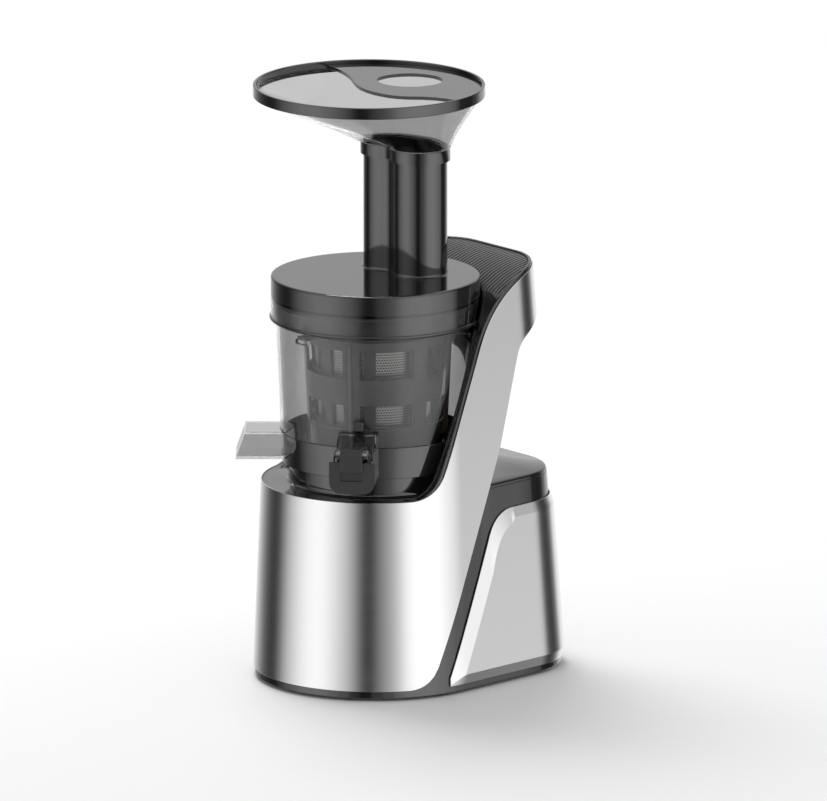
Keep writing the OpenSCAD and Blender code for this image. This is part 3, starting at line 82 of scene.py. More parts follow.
def length(name, about, value):
    """A length that a user may change."""
    return FloatProperty(name=name, description=about, default=value, min=0, unit="LENGTH", precision=4)


def spot(name, about, value):
    """A place along an axis that a user may change, behind or in front of the origin."""
    return FloatProperty(name=name, description=about, default=value, unit="LENGTH", precision=4)


def turn(name, about, degrees):
    """An angle that a user may change."""
    return FloatProperty(name=name, description=about, default=math.radians(degrees), subtype="ANGLE")


def tint(name, about, value):
    """A colour that a user may change."""
    return FloatVectorProperty(
        name=name, description=about, default=value, size=3, min=0, max=1, subtype="COLOR")


def number(name, about, value, low=0.0, high=1.0):
    """A plain number that a user may change."""
    return FloatProperty(name=name, description=about, default=value, min=low, max=high)


def count(name, about, value, low, high):
    """A whole number that a user may change."""
    return IntProperty(name=name, description=about, default=value, min=low, max=high)


class JuicerSkinSizes(bpy.types.PropertyGroup):
    """Outline of the body, as at the floor and at deck height, and of the two steel skins"""

    front_foot: length("Front radius at floor", "Radius of the round front at the floor", 0.0859)
    front_deck: length("Front radius at deck", "Radius of the round front at deck height", 0.0803)
    corner_foot: length("Corner radius at floor", "Radius of the rear corners at the floor", 0.0511)
    corner_deck: length("Corner radius at deck", "Radius of the rear corners at deck height", 0.0468)
    corner_x_foot: length("Corner place at floor", "Corner centres off the middle, at the floor", 0.026)
    corner_x_deck: length("Corner place at deck", "Corner centres off the middle, at the deck", 0.0243)
    corner_y_foot: length("Corner depth at floor", "Corner centres behind the axis, at the floor", 0.0827)
    corner_y_deck: length("Corner depth at deck", "Corner centres behind the axis, at the deck", 0.0764)
    deck: length("Deck height", "Height of the deck", 0.141)
    column_top: length("Column height", "Height of the column at the rear wall", 0.2894)
    sheet: length("Sheet thickness", "Thickness of the steel", 0.0008)
    skirt: length("Lower edge", "Height of the lower edge of the steel", 0.007)
    edge_round: length("Edge rounding", "Rounding of the steel's cut edges", 0.0003)
    slant_y: spot("Slant foot", "Where the skin's slanted lower edge starts, seen from the side", -0.0193)
    knee_y: spot("Knee place", "Where the slanted edge passes into the column's rear edge", 0.0517)
    knee_z: length("Knee height", "Height of that knee", 0.165)
    overhang_y: spot("Overhang place", "Where the underside of the column's head starts", 0.0758)
    overhang_z: length("Overhang height", "Height where that underside starts", 0.2382)
    overhang_slope: turn("Overhang slope", "Slope of that underside", 28)
    deck_end_y: spot("Deck end", "Where the deck meets the column's front edge", -0.0108)
    head_y: spot("Head place", "Where the column's front edge meets its top", 0.0575)
    slant_bend: length("Slant bend", "Radius where the lower edge turns into the slant", 0.024)
    overhang_bend: length("Overhang bend", "Radius where the rear edge turns into the overhang", 0.022)
    deck_bend: length("Deck bend", "Radius where the deck turns into the column", 0.03)
    head_bend: length("Head bend", "Radius where the column's front turns into its top", 0.082)
    panel_top: length("Panel height", "Height of the top edge of the rear panel", 0.1238)
    panel_drop: length("Panel drop", "How far the rear panel reaches below the front skin", 0.0004)
    panel_proud: length("Panel proud", "How far the rear panel stands out", 0.0022)
    panel_rest: length("Panel edge", "How far the rear panel's edges stand out", 0.0003)
    panel_rise: length("Panel rise", "Width over which the panel rises along its level edges", 0.007)
    panel_bevel: length("Panel bevel", "Width of the bevel along the panel's slanted edge", 0.011)
    panel_bend: length("Panel bend", "Radius of the panel's upper front corner", 0.027)
    band: length("Band width", "Width of the dark diagonal band", 0.014)
    columns: count("Columns", "Columns of faces on each half of a skin", 96, 24, 200)
    rows: count("Rows", "Rows of faces over the front skin's height", 26, 8, 80)
    switch_up: length("Switch height", "Height of the middle of the switch window", 0.07)
    switch_wide: length("Switch width", "Half the width of the switch window", 0.0098)
    switch_tall: length("Switch tallness", "Half the height of the switch window", 0.0068)
    gland_up: length("Gland height", "Height of the middle of the gland window", 0.026)
    gland_half: length("Gland window", "Half the width and height of the gland window", 0.005)


class JuicerTrimSizes(bpy.types.PropertyGroup):
    """Roundings and sizes of the moulded and clear pieces"""

    moulded_round: length("Moulded edges", "Rounding of the edges of the moulded body", 0.0007)
    clear_round: length("Clear edges", "Rounding of the edges of clear pieces", 0.0004)
    small_round: length("Small edges", "Rounding of small parts", 0.0003)
    cage_round: length("Cage edges", "Rounding of the edges of the strainer and the cage", 0.0005)
    skirt_line: length("Skirt line", "Height where the lid's black band meets its smoky skirt", 0.2733)
    skirt_bead: length("Skirt bead", "Height of the dark bead along the skirt's lower edge", 0.2578)
    lip_radius: length("Lip radius", "Radius of the round lip along the skirt's lower edge", 0.0731)
    lip_height: length("Lip height", "Height of the middle of that lip", 0.2574)
    lip_round: length("Lip rounding", "Radius of the lip's own section", 0.0012)
    tube_foot: length("Tube foot", "Height where the feed tube stands on the lid", 0.287)
    tube_fillet: length("Tube fillet", "Size of the fillet round the foot of the feed tube", 0.0018)
    fillet_steps: count("Fillet steps", "Faces across that fillet", 4, 1, 12)
    lip_sides: count("Lip sides", "Faces round the lip's own section", 12, 3, 48)
    lip_turns: count("Lip turns", "Faces round the lip", 180, 24, 600)
    neck_line: length("Neck line", "Height where the hopper's black neck meets its clear funnel", 0.3768)
    tube_place: length("Tube place", "Middle of the feed tube behind the drive axis", 0.0315)
    funnel_wall: length("Funnel wall", "Thickness of the funnel's wall", 0.0018)
    funnel_rings: count("Funnel rings", "Rings of faces over the funnel's height", 18, 2, 60)
    funnel_turns: count("Funnel turns", "Faces round the funnel", 240, 24, 600)
    mesh_pitch: length("Strainer pitch", "Pitch of the holes in the strainer", 0.0019)


class JuicerColours(bpy.types.PropertyGroup):
    """Colours of the finishes"""

    steel: tint("Steel", "Colour of the brushed steel", (0.86, 0.86, 0.865))
    black: tint("Black", "Colour of the glossy black mouldings", (0.014, 0.014, 0.015))
    deep_grey: tint("Matt black", "Colour of the matt mouldings", (0.028, 0.028, 0.03))
    smoke: tint("Smoke", "Colour of the smoky clear pieces", (0.2, 0.2, 0.203))
    hopper: tint("Hopper", "Colour of the clear hopper", (0.56, 0.56, 0.562))
    bowl: tint("Bowl", "Colour of the clear bowl", (0.56, 0.56, 0.565))
    cage: tint("Cage", "Colour of the strainer's frame and cage", (0.24, 0.24, 0.244))
    ribs: tint("Ribs", "Colour of the ribbed cap", (0.075, 0.075, 0.077))
    nylon: tint("Nylon", "Colour of the gears", (0.8, 0.77, 0.7))
    floor: tint("Floor", "Colour of the floor", (0.9, 0.9, 0.9))


class JuicerStudio(bpy.types.PropertyGroup):
    """Camera and light"""

    azimuth: turn("Azimuth", "Turn of the camera from the front", 50)
    elevation: turn("Elevation", "Height of the camera above the horizon", 13)
    distance: length("Distance", "Distance of the camera", 20.0)
    lens: number("Lens", "Focal length in millimetres of a 36 mm frame", 1243.8, 20, 2000)
    aim_right: length("Aim right", "How far right of the drive axis the camera aims", 0.0266)
    aim_up: length("Aim up", "How far above the deck the camera aims", 0.0539)
    sky: number("Sky", "Strength of the even light from all sides", 0.62, 0, 2)
    key: number("Key", "Power of the large soft lamp in watts", 40, 0, 500)
    key_size: length("Key size", "Width of the lamp", 1.6)
    key_distance: length("Key distance", "Distance of the lamp", 2.4)
    key_target: length("Key target", "Height on the object that the lamp points at", 0.2)
    key_heading: turn("Key heading", "Direction of the lamp from +X towards +Y", 168)
    key_height: turn("Key height", "Height of the lamp above the horizon", 58)
    ceiling: number("Ceiling", "Brightness of the ceiling in reflections", 0.9, 0, 2)
    upper: number("Upper screens", "Share of their light that the screens have above the horizon", 0.78)
    ground: number("Ground", "Share of the light that is mirrored from far below", 0.5)
    floor_half: length("Floor", "Half the width of the floor", 60)
    fade_from: length("Fade from", "Distance where the floor starts to turn white", 0.22)
    fade_to: length("Fade to", "Distance where the floor is white", 1.1)


def sizes():
    """Sizes of the outline and of the skins."""
    return bpy.context.scene.juicer_skins


def trim():
    """Roundings and sizes of the mouldings."""
    return bpy.context.scene.juicer_trim


def colours():
    """Colours of the finishes."""
    return bpy.context.scene.juicer_colours


def studio():
    """Settings of the camera and the light."""
    return bpy.context.scene.juicer_studio


# Shader groups that several finishes share


def put(tree, kind, **values):
    """A node with some of its settings and sockets filled in."""
    node = tree.nodes.new(kind)
    for key, value in values.items():
        if key in node.inputs:
            node.inputs[key].default_value = value
        else:
            setattr(node, key, value)
    return node


def shared(name):
    """One of the shader groups with named sockets, made once."""
    found = bpy.data.node_groups.get(name)
    if found:
        return found
    inputs, outputs, build = SHARED[name]
    tree = bpy.data.node_groups.new(name, "ShaderNodeTree")
    for label, value in inputs.items():
        socket = tree.interface.new_socket(label, in_out="INPUT", socket_type="NodeSocketFloat")
        socket.default_value = value
    for label in outputs:
        tree.interface.new_socket(label, in_out="OUTPUT", socket_type="NodeSocketFloat")
    start, end = tree.nodes.new("NodeGroupInput"), tree.nodes.new("NodeGroupOutput")
    build(tree, start.outputs, end.inputs)
    return tree


def feed(tree, socket, value):
    """Fills a socket from another socket or with a plain number."""
    if isinstance(value, bpy.types.NodeSocket):
        tree.links.new(value, socket)
    else:
        socket.default_value = value


def maths(tree, operation, a, b=0.0):
    """A maths node fed by sockets or plain numbers; gives its output."""
    node = put(tree, "ShaderNodeMath", operation=operation)
    feed(tree, node.inputs[0], a)
    feed(tree, node.inputs[1], b)
    return node.outputs[0]


def spread(tree, value, low, high, span=None):
    """A value between 0 and 1, or eased over a span of its own, carried to between low and high."""
    node = put(tree, "ShaderNodeMapRange", interpolation_type="SMOOTHSTEP" if span else "LINEAR")
    feed(tree, node.inputs["Value"], value)
    if span:
        node.inputs["From Min"].default_value, node.inputs["From Max"].default_value = span
    feed(tree, node.inputs["To Min"], low)
    feed(tree, node.inputs["To Max"], high)
    return node.outputs["Result"]


def choose(tree, which, no, yes):
    """One of two values, by a switch between 0 and 1."""
    # A Mix node's inputs 2 and 3 are its two numbers
    node = put(tree, "ShaderNodeMix", data_type="FLOAT")
    for socket, value in ((node.inputs[0], which), (node.inputs[2], no), (node.inputs[3], yes)):
        feed(tree, socket, value)
    return node.outputs[0]


def object_noise(tree, scale, stretch=(1, 1, 1), detail=3.0):
    """Noise on Object coordinates, stretched along the axes."""
    coordinates = tree.nodes.new("ShaderNodeTexCoord")
    mapping = put(tree, "ShaderNodeMapping")
    mapping.inputs["Scale"].default_value = stretch
    noise = put(tree, "ShaderNodeTexNoise", Scale=scale, Detail=detail)
    tree.links.new(coordinates.outputs["Object"], mapping.inputs["Vector"])
    tree.links.new(mapping.outputs["Vector"], noise.inputs["Vector"])
    return noise.outputs["Fac"]


def build_grain(tree, given, out):
    """Fine brushed lines that run round the body, with slow stains of handling."""
    lines = object_noise(tree, scale=900, stretch=(0.05, 0.05, 1.9), detail=2)
    broad = object_noise(tree, scale=26, stretch=(0.4, 0.4, 1), detail=2)
    mixed = maths(tree, "ADD", maths(tree, "MULTIPLY", lines, 0.75), maths(tree, "MULTIPLY", broad, 0.25))
    tree.links.new(spread(tree, mixed, given["Low"], given["High"]), out["Roughness"])
    tree.links.new(spread(tree, lines, low=0.97, high=1.03), out["Shade"])
    tree.links.new(lines, out["Height"])


def build_film(tree, given, out):
    """The faint unevenness of a glossy moulding and of its polish."""
    flow = object_noise(tree, scale=35, detail=2)
    specks = object_noise(tree, scale=1400, detail=1)
    tree.links.new(spread(tree, flow, given["Low"], given["High"]), out["Roughness"])
    mixed = maths(tree, "ADD", maths(tree, "MULTIPLY", flow, 0.9), maths(tree, "MULTIPLY", specks, 0.1))
    tree.links.new(mixed, out["Height"])


def build_spark(tree, given, out):
    """The spark eroded texture of matt mouldings."""
    cells = object_noise(tree, scale=2600, detail=2)
    flow = object_noise(tree, scale=60, detail=2)
    tree.links.new(spread(tree, flow, given["Low"], given["High"]), out["Roughness"])
    tree.links.new(spread(tree, cells, low=0.86, high=1.14), out["Shade"])
    tree.links.new(cells, out["Height"])


SHEET_RADIUS = 0.042  # of the strainer's sheet, for an even pitch round it


def build_holes(tree, given, out):
    """Rows of small round holes round the drive axis, as a mask that is 1 on the metal."""
    coordinates = tree.nodes.new("ShaderNodeTexCoord")
    split = tree.nodes.new("ShaderNodeSeparateXYZ")
    tree.links.new(coordinates.outputs["Object"], split.inputs[0])
    heading = maths(tree, "ARCTAN2", split.outputs["Y"], split.outputs["X"])
    across = maths(tree, "MULTIPLY", heading, maths(tree, "DIVIDE", SHEET_RADIUS, given["Pitch"]))
    up = maths(tree, "DIVIDE", split.outputs["Z"], given["Pitch"])
    row = maths(tree, "FLOOR", up)
    shifted = maths(tree, "ADD", across, maths(tree, "MULTIPLY", maths(tree, "MODULO", row, 2), 0.5))
    one = maths(tree, "SUBTRACT", maths(tree, "FRACT", shifted), 0.5)
    two = maths(tree, "SUBTRACT", maths(tree, "FRACT", up), 0.5)
    squares = maths(tree, "ADD", maths(tree, "MULTIPLY", one, one), maths(tree, "MULTIPLY", two, two))
    tree.links.new(maths(tree, "GREATER_THAN", maths(tree, "SQRT", squares), given["Hole"]), out["Metal"])


# Shared groups: their inputs, their outputs and the function that fills them
SHARED = {
    "brushed grain": ({"Low": 0.2, "High": 0.3}, ("Roughness", "Shade", "Height"), build_grain),
    "polish film": ({"Low": 0.04, "High": 0.1}, ("Roughness", "Height"), build_film),
    "spark texture": ({"Low": 0.45, "High": 0.6}, ("Roughness", "Shade", "Height"), build_spark),
    "punched holes": ({"Pitch": 0.0019, "Hole": 0.33}, ("Metal",), build_holes),
}


def finish_of(name, colour, kind, low, high, bump, depth, sockets):
    """A material with a Principled shader whose roughness, shade and relief come from a shared group."""
    made = bpy.data.materials.new(name)
    made.use_nodes = True
    tree = made.node_tree
    tree.nodes.clear()
    shader = put(tree, "ShaderNodeBsdfPrincipled")
    for key, value in sockets.items():
        shader.inputs[key].default_value = value
    shader.inputs["Base Color"].default_value = (*colour, 1)
    end = tree.nodes.new("ShaderNodeOutputMaterial")
    tree.links.new(shader.outputs[0], end.inputs[0])
    node = tree.nodes.new("ShaderNodeGroup")
    node.node_tree = shared(kind)
    node.inputs["Low"].default_value, node.inputs["High"].default_value = low, high
    tree.links.new(node.outputs["Roughness"], shader.inputs["Roughness"])
    if "Shade" in node.outputs:
        # A Mix node's inputs 6 and 7 are its two colours, and its output 2 is what they make
        blend = put(tree, "ShaderNodeMix", data_type="RGBA", blend_type="MULTIPLY")
        blend.inputs["Factor"].default_value = 1
        blend.inputs[6].default_value = (*colour, 1)
        tree.links.new(node.outputs["Shade"], blend.inputs[7])
        tree.links.new(blend.outputs[2], shader.inputs["Base Color"])
    relief = put(tree, "ShaderNodeBump", Strength=bump, Distance=depth)
    tree.links.new(node.outputs["Height"], relief.inputs["Height"])
    tree.links.new(relief.outputs[0], shader.inputs["Normal"])
    return made


# Colour, shared group, least and most roughness, strength and depth of the relief, and other sockets
FINISHES = {
    "brushed steel": ("steel", "brushed grain", 0.15, 0.23, 0.06, 0.00006,
                      {"Metallic": 1.0, "Anisotropic": 0.35}),
    "punched steel": ((0.74, 0.72, 0.68), "brushed grain", 0.28, 0.38, 0.05, 0.00004, {"Metallic": 1.0}),
    "turned steel": ((0.6, 0.6, 0.61), "brushed grain", 0.22, 0.36, 0.1, 0.00005, {"Metallic": 1.0}),
    "glossy black": ("black", "polish film", 0.05, 0.1, 0.03, 0.00002, {"IOR": 2.0}),
    "matt black": ("deep_grey", "spark texture", 0.38, 0.5, 0.12, 0.00004, {"IOR": 1.7}),
    "ribbed black": ("ribs", "spark texture", 0.26, 0.36, 0.08, 0.00003, {"IOR": 2.0}),
    "cage grey": ("cage", "polish film", 0.1, 0.2, 0.05, 0.00004,
                  {"Transmission Weight": 0.3, "IOR": 1.3, "Coat Weight": 0.5}),
    "rubber": ((0.025, 0.025, 0.025), "spark texture", 0.6, 0.8, 0.15, 0.00005, {}),
    "silicone": ((0.3, 0.3, 0.305), "spark texture", 0.35, 0.5, 0.06, 0.00004,
                 {"Subsurface Weight": 0.1}),
    "gear nylon": ("nylon", "spark texture", 0.34, 0.46, 0.06, 0.00004, {"Subsurface Weight": 0.05}),
    "cast alloy": ((0.52, 0.53, 0.54), "spark texture", 0.35, 0.5, 0.25, 0.00008, {"Metallic": 1.0}),
    "laminations": ((0.2, 0.2, 0.21), "brushed grain", 0.35, 0.5, 0.6, 0.0002, {"Metallic": 0.9}),
    "winding copper": ((0.62, 0.24, 0.09), "brushed grain", 0.25, 0.4, 0.9, 0.0006, {"Metallic": 0.8}),
    "circuit board": ((0.015, 0.12, 0.04), "spark texture", 0.3, 0.45, 0.1, 0.00004, {}),
    "sleeve blue": ((0.015, 0.04, 0.16), "polish film", 0.2, 0.3, 0.05, 0.00004, {}),
}

# Clear mouldings: colour, IOR of the wall, IOR of its polished skin and the weight of that skin
CLEAR = {
    "clear bowl": ("bowl", 1.2, 1.6, 0.85),
    "clear hopper": ("hopper", 1.01, 1.35, 0.4),
    "smoky clear": ("smoke", 1.1, 1.9, 1.0),
}


def punch(made):
    """Cuts rows of small holes in a finish through its alpha."""
    tree = made.node_tree
    node = tree.nodes.new("ShaderNodeGroup")
    node.node_tree = shared("punched holes")
    node.inputs["Pitch"].default_value = trim().mesh_pitch
    shader = next(n for n in tree.nodes if n.type == "BSDF_PRINCIPLED")
    tree.links.new(node.outputs["Metal"], shader.inputs["Alpha"])


def material(name):
    """A finish of this object, by its plain name."""
    found = bpy.data.materials.get(name)
    if found:
        return found
    if name in CLEAR:
        colour, bends, shines, skin = CLEAR[name]
        kind, low, high, bump, depth = "polish film", 0.0, 0.02, 0.01, 0.00002
        sockets = {"Transmission Weight": 1.0, "IOR": bends, "Coat Weight": skin, "Coat IOR": shines,
                   "Coat Roughness": 0.03}
    else:
        colour, kind, low, high, bump, depth, sockets = FINISHES[name]
    colour = tuple(getattr(colours(), colour)) if isinstance(colour, str) else colour
    made = finish_of(name, colour, kind, low, high, bump, depth, sockets)
    if name == "punched steel":
        punch(made)
    return made


# Meshes

FLAT = math.radians(0.4)  # faces that turn by less than this are one flat face


def place(bm, name, body, finish, stands_for=(), sharp=32):
    """The finished mesh as an object on its body, smooth but for edges sharper than so many degrees.

    The finish is the name of one material or of several, in the order of the faces' material indices.
    """
    for face in bm.faces:
        face.smooth = True
    for edge in bm.edges:
        if len(edge.link_faces) == 2 and edge.calc_face_angle(0) > math.radians(sharp):
            edge.smooth = False
    mesh = bpy.data.meshes.new(name)
    bm.to_mesh(mesh)
    bm.free()
    piece = bpy.data.objects.new(name, mesh)
    bpy.context.scene.collection.objects.link(piece)
    for one in [finish] if isinstance(finish, str) else finish:
        mesh.materials.append(material(one))
    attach(piece, body)
    if stands_for:
        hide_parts(*stands_for)
    return piece


def rounding(piece, width, steps=2, sharp=32):
    """A Bevel modifier that rounds edges sharper than so many degrees."""
    bevel = piece.modifiers.new("Rounding", "BEVEL")
    bevel.width, bevel.segments, bevel.profile = width, steps, 0.5
    bevel.limit_method, bevel.angle_limit = "ANGLE", math.radians(sharp)
    bevel.use_clamp_overlap = False
    bevel.harden_normals = True
    return piece


def merged(node):
    """A clean copy of a solid: its doubles merged and its flat faces joined."""
    bm = bmesh.new()
    bm.from_mesh(frame["nodes"][node].data)
    bmesh.ops.remove_doubles(bm, verts=bm.verts, dist=2 * CLOSE)
    bmesh.ops.dissolve_limit(
        bm, angle_limit=FLAT, verts=bm.verts, edges=bm.edges, use_dissolve_boundaries=False)
    return bm


def cut_at(bm, height, keep_above=True):
    """Cuts a mesh along a level line, so that two finishes can meet there, or drops what is above it."""
    bmesh.ops.bisect_plane(
        bm, geom=bm.verts[:] + bm.edges[:] + bm.faces[:], dist=CLOSE,
        plane_co=(0, 0, height), plane_no=(0, 0, 1), clear_outer=not keep_above)


def face_outwards(bm, middle=(0, 0)):
    """Merges an open sheet's doubles and turns its faces away from the upright line through middle."""
    bmesh.ops.remove_doubles(bm, verts=bm.verts, dist=CLOSE)
    bmesh.ops.recalc_face_normals(bm, faces=bm.faces)
    middle = Vector(middle)
    if sum(f.normal.xy.dot(f.calc_center_median().xy - middle) for f in bm.faces) < 0:
        bmesh.ops.reverse_faces(bm, faces=bm.faces)


def body_of(node):
    """Body that a solid rides on."""
    return frame["nodes"][node]["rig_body"]


def dressed(node, finish, width, name, steps=2, sharp=32):
    """A solid taken over as a piece of its own, with rounded edges and a finish."""
    piece = place(merged(node), name, body_of(node), finish, (node,), sharp)
    return rounding(piece, width, steps, sharp) if width else piece


# Outline of the body

REAR_MIDDLE = 3.0  # station of the middle of the rear wall, the last one round the body


def mix(a, b, t):
    """The value a share t of the way from a to b."""
    return a + (b - a) * t


def outline(s, z, inset=0.0):
    """Point of the body's outline at height z, less an inset.

    The station s is -1 at the front, 0 and 1 at the ends of the flank, 2 where the rear wall starts and
    REAR_MIDDLE at its middle.
    """
    k = sizes()
    t = z / k.deck
    front = mix(k.front_foot, k.front_deck, t)
    corner = mix(k.corner_foot, k.corner_deck, t)
    cx, cy = mix(k.corner_x_foot, k.corner_x_deck, t), mix(k.corner_y_foot, k.corner_y_deck, t)
    angle = math.atan2(cy, cx) - math.acos((front - corner) / math.hypot(cx, cy))
    front, corner = front - inset, corner - inset
    if s <= 0:
        a = mix(angle, -math.pi / 2, -s)
        return front * math.cos(a), front * math.sin(a)
    if s <= 1:
        one = (front * math.cos(angle), front * math.sin(angle))
        two = (cx + corner * math.cos(angle), cy + corner * math.sin(angle))
        return mix(one[0], two[0], s), mix(one[1], two[1], s)
    if s <= 2:
        a = mix(angle, math.pi / 2, s - 1)
        return cx + corner * math.cos(a), cy + corner * math.sin(a)
    return cx * (REAR_MIDDLE - s), cy + corner


def rounded_line(points, radii, steps=24):
    """A line through points in a side view, each corner rounded by its own radius."""
    out = [points[0]]
    for i in range(1, len(points) - 1):
        b, r = Vector(points[i]), radii[i]
        if r <= 0:
            out.append(tuple(b))
            continue
        u, v = (b - Vector(points[i - 1])).normalized(), (Vector(points[i + 1]) - b).normalized()
        side = 1 if u.x * v.y - u.y * v.x > 0 else -1
        half = math.acos(max(-1, min(1, u.dot(v)))) / 2
        start = b - u * r * math.tan(half)
        centre = start + Vector((-u.y, u.x)) * side * r
        a = math.atan2(start.y - centre.y, start.x - centre.x)
        for k in range(steps + 1):
            t = a + side * 2 * half * k / steps
            out.append((centre.x + r * math.cos(t), centre.y + r * math.sin(t)))
    out.append(points[-1])
    return out


def height_on(line, y):
    """Height of a side view line at y."""
    for (y0, z0), (y1, z1) in zip(line, line[1:]):
        if y0 <= y <= y1:
            return z0 if y1 - y0 < NIL else mix(z0, z1, (y - y0) / (y1 - y0))
    return line[0][1] if y < line[0][0] else line[-1][1]


REACH = 0.2  # y well in front of and behind the body, where its side view lines end


def skin_lines():
    """Lower and upper edge of the front skin seen from the side."""
    k = sizes()
    end_z = k.overhang_z + (REACH - k.overhang_y) * math.tan(k.overhang_slope)
    lower = rounded_line(
        [(-REACH, k.skirt), (k.slant_y, k.skirt), (k.knee_y, k.knee_z), (k.overhang_y, k.overhang_z),
         (REACH, end_z)],
        [0, k.slant_bend, 0, k.overhang_bend, 0])
    upper = rounded_line(
        [(-REACH, k.deck), (k.deck_end_y, k.deck), (k.head_y, k.column_top), (REACH, k.column_top)],
        [0, k.deck_bend, k.head_bend, 0])
    return lower, upper


def edge_height(line, s, guess=0.1, rounds=12):
    """Height of an edge line at station s, found in rounds because the outline narrows upwards."""
    z = guess
    for _ in range(rounds):
        z = height_on(line, outline(s, z)[1])
    return z


def stations(u):
    """Spreads u from 0 to 1 over the outline, closer round the rear corner."""
    stops = [(0.0, -1.0), (0.42, 0.0), (0.66, 1.0), (0.92, 2.0), (1.0, REAR_MIDDLE)]
    for (a, p), (b, q) in zip(stops, stops[1:]):
        if u <= b:
            return mix(p, q, (u - a) / (b - a))
    return REAR_MIDDLE


def bent_grid(rows, shape):
    """A grid bent round the body: shape gives (x, y, z) for shares of the way round and of the height."""
    bm = bmesh.new()
    bmesh.ops.create_grid(bm, x_segments=2 * sizes().columns, y_segments=rows, size=1)
    for vert in bm.verts:
        x, y, z = shape(abs(vert.co.x), round((vert.co.y + 1) / 2 * rows) / rows)
        vert.co = Vector((math.copysign(x, vert.co.x) if abs(vert.co.x) > CLOSE else 0.0, y, z))
    face_outwards(bm)
    return bm


def steel_skin(bm, name, stands_for, sharp):
    """A bent sheet as a brushed skin with its thickness and with rounded cut edges."""
    k = sizes()
    piece = place(bm, name, "base", "brushed steel", (stands_for,), sharp)
    thick = piece.modifiers.new("Sheet", "SOLIDIFY")
    thick.thickness, thick.offset = k.sheet, -1
    rounding(piece, k.edge_round, steps=2, sharp=50)


class JUICER_OT_front_skin(bpy.types.Operator):
    """Steel skin of the barrel and of the column"""

    bl_idname = "juicer.front_skin"
    bl_label = "Front steel skin"

    def execute(self, context):
        lower, upper = skin_lines()

        def shape(u, v):
            s = stations(u)
            z = mix(edge_height(lower, s), edge_height(upper, s), v)
            return (*outline(s, z), z)

        steel_skin(bent_grid(sizes().rows, shape), "front_steel", "front_steel_shell", sharp=60)
        return {"FINISHED"}


# Rows of faces of the rear panel, and the rows where its foot has risen and where its bevel starts
PANEL_ROWS, RISEN_ROW, BEVEL_ROW = 25, 4, 20
PANEL_START = -0.12  # station where the panel starts, a little in front of the flank
STILL_SLANTED = 0.0001  # the upper edge slants or bends where it lies lower than the panel's top by more

# The flat strip of the rear wall that has the windows: behind this y, within this x and below this z
STRIP_Y, STRIP_X, STRIP_Z = 0.115, 0.02, 0.09


def cut_window(bm, up, wide, tall):
    """Cuts a window into the rear wall: height of its middle, half its width and half its height."""
    for offset, axis in ((wide, 0), (-wide, 0), (up + tall, 2), (up - tall, 2)):
        middles = {f: f.calc_center_median() for f in bm.faces}
        near = [f for f, middle in middles.items() if middle.y > STRIP_Y and abs(middle.x) < STRIP_X]
        around = list({e for f in near for e in f.edges}) + list({v for f in near for v in f.verts})
        point, way = Vector((0, 0, 0)), Vector((0, 0, 0))
        point[axis], way[axis] = offset, 1
        bmesh.ops.bisect_plane(bm, geom=near + around, plane_co=point, plane_no=way)
    middles = {f: f.calc_center_median() for f in bm.faces}
    inside = [f for f, middle in middles.items()
              if middle.y > STRIP_Y and abs(middle.x) < wide and abs(middle.z - up) < tall]
    bmesh.ops.delete(bm, geom=inside, context="FACES")


class JUICER_OT_rear_panel(bpy.types.Operator):
    """Raised steel panel of the rear box, with its bevelled edge"""

    bl_idname = "juicer.rear_panel"
    bl_label = "Rear steel panel"

    def execute(self, context):
        k = sizes()
        foot = k.skirt - k.panel_drop
        slope = math.atan2(k.knee_z - k.skirt, k.knee_y - k.slant_y)
        start = k.slant_y + k.band
        bend = start + (k.panel_top - k.skirt) / math.tan(slope) + k.panel_bend * math.tan(slope / 2)
        breaks = (0.0, RISEN_ROW / PANEL_ROWS, BEVEL_ROW / PANEL_ROWS, 1.0)

        def high_at(y):
            """Height of the upper edge, which slants, bends and then runs level."""
            slant, arc = k.skirt + (y - start) * math.tan(slope), k.panel_top
            if bend - k.panel_bend * math.sin(slope) < y < bend:
                arc += math.sqrt(k.panel_bend ** 2 - (bend - y) ** 2) - k.panel_bend
            return max(min(k.panel_top, arc, slant), foot + 2 * k.sheet)

        def bevel_at(high):
            """Width of the bevel under the upper edge, measured upright."""
            if high < k.panel_top - STILL_SLANTED:
                return min(k.panel_bevel / math.cos(slope), k.panel_bevel + k.panel_top - high)
            return k.panel_rise

        def shape(u, v):
            s = mix(PANEL_START, REAR_MIDDLE, u)
            high = high_at(outline(s, k.panel_top / 2)[1])
            bevel = bevel_at(high)
            share = min(1, (high - foot) / (bevel + k.panel_rise))
            proud = max(k.panel_rest, k.panel_proud * share)
            section = [(foot, k.panel_rest), (foot + k.panel_rise * share, proud),
                       (high - bevel * share, proud), (high, k.panel_rest)]
            i = next(i for i in range(3) if v <= breaks[i + 1] + NIL)
            t = (v - breaks[i]) / (breaks[i + 1] - breaks[i])
            z, out = mix(section[i][0], section[i + 1][0], t), mix(section[i][1], section[i + 1][1], t)
            return (*outline(s, z, -out), z)

        bm = bent_grid(PANEL_ROWS, shape)
        cut_window(bm, k.switch_up, k.switch_wide, k.switch_tall)
        cut_window(bm, k.gland_up, k.gland_half, k.gland_half)
        # Cuts that run close beside a row of faces would tear the rounding of the windows' edges
        strip = [v for v in bm.verts if v.co.y > STRIP_Y and abs(v.co.x) < STRIP_X and v.co.z < STRIP_Z]
        bmesh.ops.remove_doubles(bm, verts=strip, dist=2 * k.edge_round)
        steel_skin(bm, "rear_steel", "rear_steel_shell", sharp=6.5)
        return {"FINISHED"}


